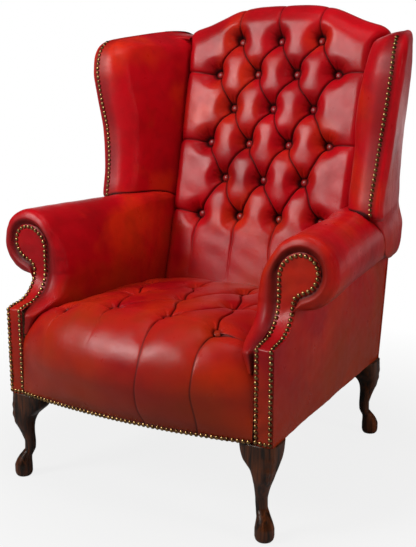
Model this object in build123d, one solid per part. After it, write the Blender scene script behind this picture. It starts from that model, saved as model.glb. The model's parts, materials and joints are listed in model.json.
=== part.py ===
from build123d import *
import math
import os

os.makedirs("parts", exist_ok=True)

# A wingback armchair: a beech frame on four cabriole legs, webbed and padded, with a
# deep-buttoned back and seat, scroll arms and plain wings, all covered in leather.
# Lengths are in millimetres. X runs across the chair, Y from front to back and Z up.
# The origin is on the floor, under the middle of the whole chair.

# Overall sizes
overall_height = 1094
depth_behind_front = 805
seat_swell = 70
overall_depth = depth_behind_front + seat_swell
front_y = seat_swell - overall_depth / 2
overrun = 400
clearance = 0.3

# The body below the arms narrows from front to back
leg_height = 204
front_half_width = 339
rear_half_width = 307
body_length = 672
panel_thickness = 6

# Timber of the frame
board = 28
rail_height = 86
back_post_width = 32
back_post_depth = 45
arm_post_depth = 50

# Arm fronts: a board that is upright below, steps back in a cove and ends in a scroll
facing_thickness = 10
facing_inner_x = 295
step_height = 403
step_depth = 96
cove_radius = 75
cove_rise = 6
scroll_x = 342
scroll_z = 533
scroll_radius = 47
ring_proud = 8

# Arm pads: a roll that narrows to the rear, over a flat inner side
arm_roll_z = 540
arm_top = 617
arm_places = (88, 300, 510, 725)
arm_inner_sizes = (284, 262, 248, 247)
arm_roll_inner_sizes = (277, 256, 246, 245)
arm_roll_outer_sizes = (430, 398, 367, 337)

# Seat: a tufted cover over foam, on straps across the rails
seat_front_crown = 442
seat_rear_crown = 426
seat_layer = 44
seat_bow = 30
seat_strap_thickness = 3
hessian_thickness = 2
strap_width = 52
seat_strap_count = 5
seat_cross_strap_count = 4
seat_side_crown = 386
seat_shoulder = 72
seat_belly_share = 0.41
seat_breast_share = 0.72
seat_brow_share = 0.94
seat_shares = (-1, -0.82, -0.5, 0, 0.5, 0.82, 1)
lining_thickness = 1.5

# Back: a raked tufted cover over foam, rolled over a curved crest
back_slope_share = 0.2627
back_crown_y = 567
back_crown_z = 600
back_bottom = 338
back_layer = 44
crest_roof = 25
crest_rear_layer = 14
crest_flap_z = 968
crest_half_width = 262
crest_drop = 57
crest_shares = ((0, 0), (0.39, 0.088), (0.582, 0.333), (0.79, 0.737), (1, 1))
back_seat_half_width = 249
back_top_half_width = 261
back_sweep = 10
outer_back_top = 1000
outer_back_top_half_width = 320
back_strap_count = 3
back_cross_strap_count = 5

# Buttons and pleats
button_radius = 10
button_height = 7
button_top_share = 0.6
tuft_sides = 8
tuft_radius = 50
tuft_depth = 32
tuft_rim_rise = 2
tuft_sizes = ((15, 17), (29, 5))
pleat_half_width = 9
pleat_depth = 22
pleat_slot = 2.6
pleat_slot_depth = 7
back_button_pitch = 113.8
back_rows = ((1008, 3), (924, 4), (838, 3), (749, 4), (658, 3), (563, 4))
back_tail = 95
seat_rows = ((46, (68, 192)), (222, (0, 137)), (390, (68, 200)))

# Wings: padded boards that stand on the arms and lean out as they rise
wing_heights = (585, 700, 800, 900, 1040)
wing_front_places = (414, 437, 444, 436, 440)
wing_nail_sizes = (363, 366, 377, 393, 396)
wing_edge = 24
wing_inner_sizes = (296, 304, 312, 322, 336)
wing_root_sizes = (246, 248, 251, 253, 256)
wing_root_places = (560, 600, 630, 660, 690)
wing_nose = 26
wing_top_front = 1014
wing_top_rear = 1036
wing_top_radius = 56
wing_top_back = 70
wing_top_fall = 20

# Legs: cabriole, each section given by its height and its two sides
foot_x = 318
foot_y = 9
rear_foot_x = 292
rear_foot_inset = 7
rear_leg_share = 0.9
leg_sections = (
    (0, 303, 333, -6, 24, 0.98),
    (4, 299, 337, -10, 28, 0.98),
    (11, 297.5, 338.5, -11.5, 29.5, 0.98),
    (26, 297.5, 338.5, -11.5, 29.5, 0.98),
    (36, 298.5, 335, -8, 28.5, 0.98),
    (46, 299, 330, -3, 28, 0.98),
    (56, 296, 323.5, 3, 30.5, 0.97),
    (66, 293, 318, 8, 33, 0.96),
    (82, 292, 317.5, 8, 33.5, 0.94),
    (98, 292, 321, 4, 33, 0.9),
    (114, 292, 326, -1, 33.5, 0.82),
    (130, 291, 332, -6, 36, 0.7),
    (140, 289, 334.5, -7.5, 39.5, 0.57),
    (150, 285, 337, -8, 45, 0.45),
    (160, 275.5, 338.5, -7.5, 53, 0.36),
    (170, 266, 340, -7, 61, 0.3),
    (186, 259.5, 341, -6, 67.5, 0.25),
    (204, 256, 341, -5, 72, 0.22),
)
leg_corner_points = 3
leg_bolt_radius = 4
rod_sides = 8
leg_bolt_in_leg = 24
bolt_inset_x = 36
bolt_inset_y = 45
leg_nut_across = 13
leg_nut_height = 6
block_side = 92
block_height = 40


# Places measured from the plane of the arm fronts
def along(distance):
    return front_y + distance


def side_x(distance):
    taper = (rear_half_width - front_half_width) / body_length
    return front_half_width + taper * distance


def inner_side_x(distance):
    return side_x(distance) - panel_thickness - clearance


def steps(places, values, place):
    """Value at a place, in straight runs between the values that are given."""
    pairs = list(zip(places, values))
    for (a, value_a), (b, value_b) in zip(pairs, pairs[1:]):
        if place <= b:
            return value_a + (value_b - value_a) * (place - a) / (b - a)
    return values[-1]


def mirrored(shape):
    return mirror(shape, about=Plane.YZ)


def closed_face(*edges):
    return Face(Wire(list(edges)))


def faceted(outlines):
    """A solid with flat sides through outlines that have the same number of corners."""
    sides = [outlines[0], outlines[-1]]
    for near, far in zip(outlines, outlines[1:]):
        sides += [(near[k - 1], near[k], far[k], far[k - 1]) for k in range(len(near))]
    return Solid(Shell([Face(Wire.make_polygon(corners)) for corners in sides]))


def ring(radius, z):
    turns = [2 * math.pi * k / tuft_sides for k in range(tuft_sides)]
    return [(radius * math.cos(turn), radius * math.sin(turn), z) for turn in turns]


def prism_across(points, low_x, high_x):
    """A solid with the given (y, z) outline, from one x to another."""
    outline = Face(Wire.make_polygon([(low_x, y, z) for y, z in points]))
    return extrude(outline, amount=high_x - low_x, dir=(1, 0, 0))


def prism_up(points, low_z, high_z):
    """A solid with the given (x, y) outline, from one height to another."""
    outline = Face(Wire.make_polygon([(x, y, low_z) for x, y in points]))
    return extrude(outline, amount=high_z - low_z, dir=(0, 0, 1))


def block(low, high):
    size = [b - a for a, b in zip(low, high)]
    middle = [(a + b) / 2 for a, b in zip(low, high)]
    return Pos(*middle) * Box(*size)


# Side profile of the arm fronts, moved back by a given distance
def step_profile(x, back, low, high):
    cove_z = step_height + cove_rise + cove_radius
    radius = cove_radius + back
    cove_y = step_depth - cove_radius
    skipped = max(back - cove_y, 0)
    first_turn = math.asin(skipped / radius)
    turns = (first_turn, (first_turn + math.pi / 2) / 2, math.pi / 2)
    start, middle, end = [
        (x, along(cove_y + radius * math.sin(turn)), cove_z - radius * math.cos(turn))
        for turn in turns
    ]
    bottom = (x, along(back), low)
    if skipped:
        rise = [Line(bottom, start)]
    else:
        corner = (x, along(back), step_height - back)
        rise = [Line(bottom, corner), Line(corner, start)]
    return rise + [ThreePointArc(start, middle, end), Line(end, (x, end[1], high))]


def step_band(front, back, low, high, low_x, high_x):
    """Solid between two step profiles, front and back, from one x to another."""
    near = step_profile(low_x, front, low, high)
    far = step_profile(low_x, back, low, high)
    bottom = Line((low_x, along(front), low), (low_x, along(back), low))
    top = Line(near[-1] @ 1, far[-1] @ 1)
    outline = closed_face(*near, top, *far, bottom)
    return extrude(outline, amount=high_x - low_x, dir=(1, 0, 0))


def behind_step(front, low, high, low_x, high_x):
    """Everything behind a step profile."""
    near = step_profile(low_x, front, low, high)
    far_y = along(depth_behind_front)
    ends = Polyline(near[-1] @ 1, (low_x, far_y, high), (low_x, far_y, low), near[0] @ 0)
    outline = closed_face(*near, *ends.edges())
    return extrude(outline, amount=high_x - low_x, dir=(1, 0, 0))


def scroll_prism(inset):
    """Front outline of an arm front, as a long bar: an upright strip and its scroll."""
    strip = block(
        (facing_inner_x + inset, -overall_depth, leg_height),
        (front_half_width - inset, overall_depth, scroll_z - scroll_radius / 2),
    )
    disc = Cylinder(scroll_radius - inset, 2 * overall_depth, rotation=(90, 0, 0))
    return strip + Pos(scroll_x, 0, scroll_z) * disc


def arm_facing(grow=0):
    band = step_band(
        -grow, facing_thickness + grow, leg_height - grow, arm_top, 0, front_half_width + overrun
    )
    return band & scroll_prism(-grow)


# Frame
post_gap = facing_thickness + clearance
post_back = step_depth + post_gap + board
arm_post_inner_x = inner_side_x(post_back) - board - clearance
post_inset = 5
arm_rail_height = 24
arm_rail_z = arm_roll_z - arm_rail_height / 2
arm_rail_front_width = 72
arm_rail_inner_x = 306


def arm_post(grow=0):
    band = step_band(
        post_gap - grow,
        post_gap + board + grow,
        leg_height - grow,
        scroll_z + scroll_radius + grow,
        0,
        front_half_width + overrun,
    )
    top = step_height - arm_post_depth + grow
    low = prism_across(
        (
            (along(post_gap - grow), leg_height - grow),
            (along(post_gap - grow), top),
            (along(post_gap + arm_post_depth + grow), top),
            (along(post_gap + arm_post_depth + grow), leg_height - grow),
        ),
        0,
        front_half_width,
    )
    narrow = block(
        (arm_post_inner_x - grow, -overall_depth, leg_height - grow),
        (arm_post_inner_x + board + grow, overall_depth, scroll_z),
    )
    disc = Cylinder(scroll_radius - post_inset + grow, 2 * overall_depth, rotation=(90, 0, 0))
    outline = narrow + Pos(scroll_x, 0, scroll_z) * disc
    return (band + low) & outline


def chord_y(z):
    """Rear of the outer back, on the straight line from its bottom to its top."""
    share = (z - leg_height) / (outer_back_top - leg_height)
    return along(body_length + share * (depth_behind_front - body_length))


def back_arc(x, inset, low, high):
    """Edge of the outer back in side view, bowed to the rear."""
    middle = (low + high) / 2
    bow = back_sweep * (high - low) / (outer_back_top - leg_height)
    return ThreePointArc(
        (x, chord_y(low) - inset, low),
        (x, chord_y(middle) + bow - inset, middle),
        (x, chord_y(high) - inset, high),
    )


post_top = 985
back_gap = panel_thickness + clearance
post_outer_x = inner_side_x(chord_y(arm_roll_z) - front_y) - clearance
post_inner_x = post_outer_x - back_post_width


def post_front_y(z):
    return chord_y(z) - back_gap - back_post_depth


def back_post(grow=0):
    low, high = leg_height, post_top
    x = post_inner_x - grow
    rear = back_arc(x, back_gap - grow, low, high)
    front = Polyline(
        rear @ 1,
        (x, post_front_y(high) - grow, high),
        (x, post_front_y(low) - grow, low),
        rear @ 0,
    )
    outline = closed_face(rear, *front.edges())
    return extrude(outline, amount=back_post_width + 2 * grow, dir=(1, 0, 0))


def front_seat_rail():
    end = arm_post_inner_x - clearance
    low = (-end, along(post_gap), leg_height)
    return block(low, (end, along(post_gap + board), leg_height + rail_height))


def side_seat_rail():
    near = post_gap + arm_post_depth + clearance
    far = post_front_y(leg_height) - front_y - clearance
    points = (
        (inner_side_x(near), along(near)),
        (inner_side_x(far), along(far)),
        (inner_side_x(far) - board, along(far)),
        (inner_side_x(near) - board, along(near)),
    )
    return prism_up(points, leg_height, leg_height + rail_height)


def rear_seat_rail():
    end = post_inner_x - clearance
    far = chord_y(leg_height) - back_gap
    return block((-end, far - board, leg_height), (end, far, leg_height + rail_height))


lower_rail_z = 400
lower_rail_height = 50


def raked_rail(low, high):
    """A rail between the back posts, with its front flush with theirs."""
    end = post_inner_x - clearance
    points = (
        (post_front_y(low), low),
        (post_front_y(high), high),
        (post_front_y(high) + board, high),
        (post_front_y(low) + board, low),
    )
    return prism_across(points, -end, end)


def frame_bay():
    """Room for the straps ahead of the back posts, and for all that lies between these."""
    low, high = lower_rail_z - clearance, post_top + clearance
    near = 2 * (seat_strap_thickness + clearance) + clearance
    ends = []
    for run, reach in ((0, post_outer_x + clearance), (overrun, post_inner_x)):
        points = (
            (post_front_y(low) - near, low),
            (post_front_y(high) - near, high),
            (post_front_y(high) + run, high),
            (post_front_y(low) + run, low),
        )
        ends.append(prism_across(points, 0, reach))
    return ends


def lower_back_rail():
    return raked_rail(lower_rail_z, lower_rail_z + lower_rail_height)


crest_rail_low = 930
crest_rail_drop = 54


def crest_height(share):
    """Height of the crest at a share of its half width."""
    places = [place for place, drop in crest_shares]
    drops = [drop for place, drop in crest_shares]
    return overall_height - crest_drop * steps(places, drops, abs(share))


def crest_rail():
    rail = raked_rail(crest_rail_low, overall_height)
    shares = [place for place, drop in crest_shares]
    tops = [(crest_half_width * s, crest_height(s) - crest_rail_drop) for s in shares]
    right = tops[1:] + [(post_outer_x, tops[-1][1]), (post_outer_x, crest_rail_low)]
    outline = [tops[0]] + right + [(-x, z) for x, z in reversed(right)]
    face = Face(Wire.make_polygon([(x, -overall_depth, z) for x, z in outline]))
    return rail & extrude(face, amount=2 * overall_depth, dir=(0, 1, 0))


def arm_rail(grow=0):
    near = along(post_back + clearance) - grow
    far = post_front_y(arm_rail_z) - clearance + grow
    points = (
        (arm_rail_inner_x - grow, near),
        (arm_rail_inner_x + arm_rail_front_width + grow, near),
        (post_outer_x + grow, far),
        (post_inner_x - grow, far),
    )
    return prism_up(points, arm_rail_z - grow, arm_rail_z + arm_rail_height + grow)


wing_post_depth = 34
wing_post_thickness = 24
wing_post_inset = 13
wing_rail_height = 30
wing_rail_top = 962


def wing_post_section(z, grow):
    nail = steps(wing_heights, wing_nail_sizes, z)
    front = along(steps(wing_heights, wing_front_places, z)) + wing_post_inset
    outer = nail + wing_edge - wing_post_inset
    low = (outer - wing_post_thickness - grow, front - grow)
    high = (outer + grow, front + wing_post_depth + grow)
    corners = [(low[0], low[1]), (high[0], low[1]), (high[0], high[1]), (low[0], high[1])]
    return Face(Wire.make_polygon([(x, y, z) for x, y in corners]))


def wing_post(grow=0):
    base = arm_rail_z + arm_rail_height + clearance
    heights = [base] + list(wing_heights[1:4]) + [wing_rail_top]
    pieces = [
        loft([wing_post_section(a, grow), wing_post_section(b, grow)])
        for a, b in zip(heights, heights[1:])
    ]
    return pieces[0].fuse(*pieces[1:])


def wing_rail(grow=0):
    top = wing_rail_top
    nail = steps(wing_heights, wing_nail_sizes, top)
    front = along(steps(wing_heights, wing_front_places, top)) + wing_post_inset
    near = front + wing_post_depth + clearance
    outer = nail + wing_edge - wing_post_inset - panel_thickness
    far = post_front_y(top - wing_rail_height) - clearance
    points = (
        (outer - wing_post_thickness - grow, near - grow),
        (outer + grow, near - grow),
        (post_outer_x + grow, far + grow),
        (post_inner_x - grow, far + grow),
    )
    return prism_up(points, top - wing_rail_height - grow, top + grow)


# Arm pads
hessian_z = leg_height + rail_height + 2 * (seat_strap_thickness + clearance) + clearance
seat_foam_z = hessian_z + hessian_thickness + clearance
seat_ledge_z = 388


def arm_section(place, grow):
    inner = steps(arm_places, arm_inner_sizes, place) - grow
    roll_inner = steps(arm_places, arm_roll_inner_sizes, place) - grow
    roll_outer = steps(arm_places, arm_roll_outer_sizes, place) + grow
    middle = (roll_inner + roll_outer) / 2
    across = (roll_outer - roll_inner) / 2
    tall = arm_top - arm_roll_z + grow
    neck = inner_side_x(place) - board / 2 + grow
    y = along(place)
    centre = Plane(origin=(middle, y, arm_roll_z), x_dir=(1, 0, 0), z_dir=(0, -1, 0))
    over = centre * EllipticalCenterArc((0, 0), across, tall, start_angle=-90, arc_size=270)
    low = seat_foam_z - grow
    rest = Polyline(
        over @ 1,
        (inner, y, low),
        (neck, y, low),
        (neck, y, arm_roll_z - tall),
        over @ 0,
    )
    return closed_face(over.edge(), *rest.edges())


def arm_envelope(grow=0):
    places = (0,) + arm_places + (depth_behind_front,)
    return loft([arm_section(place, grow) for place in places])


def before_outer_back(gap):
    """Everything ahead of the inner face of the outer back."""
    low, high = leg_height, outer_back_top
    rear = back_arc(-overall_depth, gap, low, high)
    far = along(-overall_depth)
    over = (-overall_depth, chord_y(high) - gap, overall_height + overrun)
    front = Polyline(
        rear @ 1,
        over,
        (-overall_depth, far, overall_height + overrun),
        (-overall_depth, far, low - overrun),
        (-overall_depth, (rear @ 0).Y, low - overrun),
        rear @ 0,
    )
    outline = closed_face(rear, *front.edges())
    return extrude(outline, amount=2 * overall_depth, dir=(1, 0, 0))


def arm_pad(grow=0):
    """Space of one arm, from the ring round its front to the outer back."""
    far_x = front_half_width + overrun
    behind = behind_step(-ring_proud - grow, 0, arm_top + overrun, 0, far_x)
    ledge = block(
        (0, -overall_depth, 0),
        (front_half_width, along(post_gap) - grow, seat_ledge_z - grow),
    )
    return (arm_envelope(grow) & behind & before_outer_back(back_gap)) - ledge


def arm_recess():
    """Room for the arm front, open towards the sitter."""
    far_x = front_half_width + overrun
    band = step_band(
        -2 * ring_proud, facing_thickness + clearance, 0, arm_top + overrun, 0, far_x
    )
    return band & scroll_prism(-clearance)


def arm_cover():
    pad = arm_pad() - arm_recess() - arm_post(clearance) - arm_rail(clearance)
    pad = pad - wing_post(clearance) - back_post(clearance)
    return pad.cut(back_space(), *frame_bay())


def outer_arm_panel():
    near, far = facing_thickness + clearance, depth_behind_front
    points = (
        (side_x(near), along(near)),
        (side_x(far), along(far)),
        (side_x(far) - panel_thickness, along(far)),
        (side_x(near) - panel_thickness, along(near)),
    )
    slab = prism_up(points, leg_height, arm_roll_z)
    behind = behind_step(near, 0, overall_height, 0, front_half_width)
    slab = slab & behind & before_outer_back(back_gap)
    return slab - arm_envelope(clearance)


# Wings: the padded core, and a leather panel that wraps its outer side from the nail line
def wing_rear_x(z):
    low_x = side_x(chord_y(arm_roll_z) - front_y)
    share = (z - arm_roll_z) / (outer_back_top - arm_roll_z)
    return low_x + share * (outer_back_top_half_width - low_x)


def wing_plan(index):
    z = wing_heights[index]
    front = along(wing_front_places[index])
    nail = wing_nail_sizes[index]
    rear_y = chord_y(min(z, outer_back_top))
    return z, front, nail, nail + wing_edge, wing_rear_x(z), rear_y


def wing_core_section(index):
    z, front, nail, outer, rear_x, rear_y = wing_plan(index)
    inner = wing_inner_sizes[index]
    root_x, root_y = wing_root_sizes[index], along(wing_root_places[index])
    gap = panel_thickness
    inner_nose = Bezier((inner, front + wing_nose, z), (inner, front, z), (nail, front, z))
    step = Line(inner_nose @ 1, (nail, front + gap, z))
    outer_nose = Bezier(
        step @ 1,
        (outer - gap, front + gap, z),
        (outer - gap, front + wing_edge, z),
    )
    rest = Polyline(
        outer_nose @ 1,
        (rear_x - gap, rear_y, z),
        (root_x, rear_y, z),
        (root_x, root_y, z),
        inner_nose @ 0,
    )
    return closed_face(inner_nose, step, outer_nose, *rest.edges())


def wing_panel_section(index):
    z, front, nail, outer, rear_x, rear_y = wing_plan(index)
    start = nail + clearance
    gap = panel_thickness - clearance
    nose = Bezier((start, front, z), (outer, front, z), (outer, front + wing_edge, z))
    inner_nose = Bezier(
        (outer - gap, front + wing_edge, z),
        (outer - gap, front + gap, z),
        (start, front + gap, z),
    )
    side = Polyline(nose @ 1, (rear_x, rear_y, z), (rear_x - gap, rear_y, z), inner_nose @ 0)
    return closed_face(nose, *side.edges(), inner_nose, Line(inner_nose @ 1, nose @ 0))


def wing_outline():
    """Side view of a wing: a round top corner and a top that climbs to the crest."""
    x = 0
    front = along(min(wing_front_places)) - overrun
    corner_y = along(wing_front_places[-1])
    turn = wing_top_radius * (1 - math.sqrt(0.5))
    start = (x, corner_y, wing_top_front - wing_top_radius)
    middle = (x, corner_y + turn, wing_top_front - turn)
    end = (x, corner_y + wing_top_radius, wing_top_front)
    rear = along(depth_behind_front)
    peak = rear - wing_top_back
    arc = ThreePointArc(start, middle, end)
    rest = Polyline(
        end,
        (x, peak, wing_top_rear),
        (x, rear, wing_top_rear - wing_top_fall),
        (x, rear, 0),
        (x, front, 0),
        (x, front, wing_top_front - wing_top_radius),
        start,
    )
    outline = closed_face(arc, *rest.edges())
    return extrude(outline, amount=front_half_width + overrun, dir=(1, 0, 0))


def wing_solid(section):
    solid = loft([section(index) for index in range(len(wing_heights))], ruled=True)
    return (solid & wing_outline() & before_outer_back(back_gap)) - arm_envelope(clearance)


def wing_cover():
    core = wing_solid(wing_core_section) - wing_post(clearance) - wing_rail(clearance)
    core = core - back_post(clearance)
    return core.cut(back_space(), *frame_bay())


def outer_wing_panel():
    return wing_solid(wing_panel_section)


# Back
slope_length = math.sqrt(1 + back_slope_share**2)
crest_places = tuple(-place for place, drop in reversed(crest_shares[1:])) + tuple(
    place for place, drop in crest_shares
)


def back_face_y(z, inset=0):
    y = along(back_crown_y) + inset * slope_length
    return y + back_slope_share * (z - back_crown_z)


def back_section(share, front_inset, top_inset, rear_inset, low):
    """Side profile of the back at one place: raked face, round crest, upright rear."""
    x = share * crest_half_width
    high = crest_height(share) - top_inset
    rear_y = along(depth_behind_front) - rear_inset
    room = rear_y - back_face_y(high, front_inset)
    radius = room / (slope_length + 1 - back_slope_share)
    centre_y, centre_z = rear_y - radius, high - radius
    meet_z = centre_z + radius * back_slope_share / slope_length
    meet = (x, centre_y - radius / slope_length, meet_z)
    bottom = (x, back_face_y(low, front_inset), low)
    crest = ThreePointArc(meet, (x, centre_y, high), (x, rear_y, centre_z))
    rest = Polyline(crest @ 1, (x, rear_y, low), bottom, meet)
    return closed_face(crest, *rest.edges())


def back_envelope(front_inset=0, top_inset=0, rear_inset=0, low=back_bottom):
    return loft(
        [back_section(share, front_inset, top_inset, rear_inset, low) for share in crest_places]
    )


def back_width(gap=0):
    """Front outline of the back pad, as a long bar: upright, then widening above the arms."""
    low, high = back_bottom - overrun, overall_height + overrun
    rate = (back_top_half_width - back_seat_half_width) / (overall_height - arm_roll_z)
    low_x = back_seat_half_width + gap
    high_x = back_top_half_width + gap + rate * overrun
    right = [(low_x, low), (low_x, arm_roll_z), (high_x, high)]
    corners = right + [(-x, z) for x, z in reversed(right)]
    outline = Face(Wire.make_polygon([(x, -overall_depth, z) for x, z in corners]))
    return extrude(outline, amount=2 * overall_depth, dir=(0, 1, 0))


def back_space():
    """Room for the back between the arms and between the wings."""
    low, high = back_bottom - clearance, overall_height + clearance
    points = (
        (back_face_y(low) - clearance, low),
        (back_face_y(high) - clearance, high),
        (back_face_y(high) + overrun, high),
        (back_face_y(low) + overrun, low),
    )
    return prism_across(points, -overall_depth, overall_depth) & back_width(clearance)


def tuft_hole():
    """Trumpet cut round a button: steep at the button and flat where it ends."""
    foot = ring(button_radius + clearance, -tuft_depth)
    flare = [ring(radius, -depth) for radius, depth in tuft_sizes]
    return faceted([foot, *flare, ring(tuft_radius, tuft_rim_rise)])


def button_shape():
    low = -tuft_depth + clearance
    rim = low + button_height / 2
    crown = ring(button_radius * button_top_share, low + button_height)
    return faceted([ring(button_radius, low), ring(button_radius, rim), crown])


def pleat(start, end, start_depth, end_depth):
    """V cut between two buttons on a pad's face, in the pad's own plane."""
    (x1, y1), (x2, y2) = start, end
    length = math.hypot(x2 - x1, y2 - y1)
    run_x, run_y = (x2 - x1) / length, (y2 - y1) / length
    side_x_share, side_y_share = -run_y, run_x
    near = (x1 + run_x * button_radius, y1 + run_y * button_radius, start_depth)
    far = (x2 - run_x * button_radius, y2 - run_y * button_radius, end_depth)
    ends = []
    for x, y, depth in (near, far):
        half = pleat_half_width * (depth + tuft_rim_rise) / pleat_depth
        corners = (
            (x + side_x_share * half, y + side_y_share * half, tuft_rim_rise),
            (x - side_x_share * half, y - side_y_share * half, tuft_rim_rise),
            (x, y, -depth),
        )
        ends.append(corners)
    return faceted(ends)


def diamond_pleats(rows, reach):
    """Pleats between each button and the buttons of the next row that are within reach."""
    tools = []
    for upper, lower in zip(rows, rows[1:]):
        for start in upper:
            for end in lower:
                if abs(start[0] - end[0]) < reach:
                    tools.append(pleat(start, end, pleat_depth, pleat_depth))
    return tools


back_top_row_z = back_rows[0][0]
back_plane = Plane(
    origin=(0, back_face_y(back_top_row_z), back_top_row_z),
    x_dir=(1, 0, 0),
    z_dir=(0, -1, back_slope_share),
)
back_buttons_at = [
    [
        ((place - (count - 1) / 2) * back_button_pitch, (z - back_top_row_z) * slope_length)
        for place in range(count)
    ]
    for z, count in back_rows
]


def placed_holes(plane, rows):
    hole = tuft_hole()
    return [plane * Pos(x, y, 0) * hole for row in rows for x, y in row]


def back_pleats():
    tools = diamond_pleats(back_buttons_at, back_button_pitch)
    for row in back_buttons_at[1::2]:
        for x, y in (row[0], row[-1]):
            side = math.copysign(back_top_half_width + overrun, x)
            tools.append(pleat((x, y), (side, y), pleat_depth, pleat_depth))
    for x, y in back_buttons_at[-1]:
        tools.append(pleat((x, y), (x, y - back_tail), pleat_depth, 0))
    tools = [back_plane * tool for tool in tools]
    shell = back_envelope(-pleat_slot, -pleat_slot, -pleat_slot) - back_envelope(
        pleat_slot_depth, pleat_slot_depth, pleat_slot_depth
    )
    for x, y in back_buttons_at[0]:
        slot = block(
            (x - pleat_slot / 2, -overall_depth, back_top_row_z),
            (x + pleat_slot / 2, overall_depth, overall_height + overrun),
        )
        tools.append(shell & slot)
    return tools


def back_cover():
    cover = back_envelope() & back_width()
    cover -= back_envelope(back_layer, crest_roof, crest_rear_layer, back_bottom - overrun)
    rear = along(depth_behind_front) - crest_rear_layer - clearance
    cover -= block(
        (-overall_depth, rear, 0),
        (overall_depth, overall_depth, crest_flap_z),
    )
    return cover.cut(*placed_holes(back_plane, back_buttons_at)).cut(*back_pleats())


def foam_rear_y(z):
    return post_front_y(z) - 2 * (seat_strap_thickness + clearance) - clearance


def back_foam():
    foam = back_envelope(
        back_layer + clearance, crest_roof + clearance, crest_rear_layer + clearance
    )
    high = overall_height
    ahead = prism_across(
        (
            (foam_rear_y(back_bottom), back_bottom),
            (foam_rear_y(high), high),
            (-overall_depth, high),
            (-overall_depth, back_bottom),
        ),
        -overall_depth,
        overall_depth,
    )
    return foam & ahead & back_width()


def raked_strap(layer, low, high, low_x, high_x):
    """A strap on the front of the back frame, in its first or second layer."""
    near = (layer + 1) * (seat_strap_thickness + clearance)
    points = (
        (post_front_y(low) - near, low),
        (post_front_y(high) - near, high),
        (post_front_y(high) - near + seat_strap_thickness, high),
        (post_front_y(low) - near + seat_strap_thickness, low),
    )
    return prism_across(points, low_x, high_x)


def spread(count, low, high, width):
    """Places that spread a number of straps evenly between two limits."""
    room = (high - low - width) / (count - 1)
    return [low + step * room for step in range(count)]


def back_webbing():
    low = lower_rail_z + lower_rail_height / 4
    high = crest_rail_low + board
    edge = post_inner_x - strap_width / 2
    places = spread(back_strap_count, -edge, edge, strap_width)
    return [raked_strap(0, low, high, x, x + strap_width) for x in places]


def back_cross_webbing():
    low = lower_rail_z + lower_rail_height
    edge = post_outer_x - board / 4
    places = spread(back_cross_strap_count, low, crest_rail_low, strap_width)
    return [raked_strap(1, z, z + strap_width, -edge, edge) for z in places]


def outer_back_panel():
    low, high = leg_height, crest_flap_z - clearance
    rear = back_arc(-overall_depth, 0, low, outer_back_top)
    front = back_arc(-overall_depth, panel_thickness, low, outer_back_top)
    top = Line(rear @ 1, front @ 1)
    bottom = Line(front @ 0, rear @ 0)
    band = extrude(closed_face(rear, top, front, bottom), amount=2 * overall_depth, dir=(1, 0, 0))
    corners = (
        (rear_half_width, low),
        (wing_rear_x(arm_roll_z), arm_roll_z),
        (wing_rear_x(high), high),
    )
    outline = [(x, z) for x, z in corners] + [(-x, z) for x, z in reversed(corners)]
    face = Face(Wire.make_polygon([(x, -overall_depth, z) for x, z in outline]))
    return band & extrude(face, amount=2 * overall_depth, dir=(0, 1, 0))


# Seat
def seat_lines(share, inset):
    """Where the seat's front and top lie at one place across it, drawn in by inset."""
    x = share * (facing_inner_x - clearance)
    bow = seat_bow * (1 - share**2)
    swell = (seat_swell - seat_bow) * (1 - share**4)
    bottom_y = along(-bow) + inset
    front = along(-bow - swell) + inset
    fall = (seat_front_crown - seat_side_crown) * share**4
    return x, bottom_y, front, seat_front_crown - fall - inset, seat_rear_crown - fall - inset


def seat_over(x, front, crown, *first):
    """Curve from the seat's front face over its shoulder to the top."""
    tall = crown - leg_height
    return Spline(
        *first,
        (x, front + seat_shoulder / 6, leg_height + seat_breast_share * tall),
        (x, front + seat_shoulder / 2, leg_height + seat_brow_share * tall),
        (x, front + seat_shoulder + seat_shoulder / 3, crown),
        tangents=((0, -1, 3), (0, 1, 0)),
    )


def seat_section(share, inset):
    """Side profile of the whole seat, with the front that hangs over the rail."""
    x, bottom_y, front, crown, rear_crown = seat_lines(share, inset)
    belly = leg_height + seat_belly_share * (crown - leg_height)
    curve = seat_over(x, front, crown, (x, bottom_y, leg_height), (x, front, belly))
    low, inner_y = seat_foam_z, along(post_gap) - clearance
    rest = Polyline(
        curve @ 1,
        (x, back_face_y(rear_crown) - clearance, rear_crown),
        (x, back_face_y(low) - clearance, low),
        (x, inner_y, low),
        (x, inner_y, leg_height),
        curve @ 0,
    )
    return closed_face(curve, *rest.edges())


def seat_core_section(share, inset, low):
    """Side profile of what lies under the cover, on the hessian."""
    x, bottom_y, front, crown, rear_crown = seat_lines(share, inset)
    curve = seat_over(x, front, crown, (x, front, low))
    rest = Polyline(
        curve @ 1,
        (x, back_face_y(rear_crown) - clearance, rear_crown),
        (x, back_face_y(low) - clearance, low),
        curve @ 0,
    )
    return closed_face(curve, *rest.edges())


def seat_envelope(inset=0):
    return loft([seat_section(share, inset) for share in seat_shares])


def seat_core(inset, low):
    return loft([seat_core_section(share, inset, low) for share in seat_shares])


def both_sides(shape):
    return [shape, mirrored(shape)]


def seat_neighbours():
    shapes = []
    for shape in (arm_pad(clearance), arm_facing(clearance), arm_post(clearance)):
        shapes += both_sides(shape)
    return shapes


seat_first_row = seat_rows[0][0]
seat_buttons_at = [
    [(x, seat_first_row - place) for x in sorted({-x for x in places} | set(places))]
    for place, places in seat_rows
]
seat_reach = seat_rows[1][1][-1]
seat_tilt_share = (seat_front_crown - seat_rear_crown) / (back_crown_y - seat_first_row)
seat_plane = Plane(
    origin=(0, along(seat_first_row), seat_front_crown - seat_tilt_share * seat_first_row),
    x_dir=(-1, 0, 0),
    z_dir=(0, seat_tilt_share, 1),
)


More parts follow.
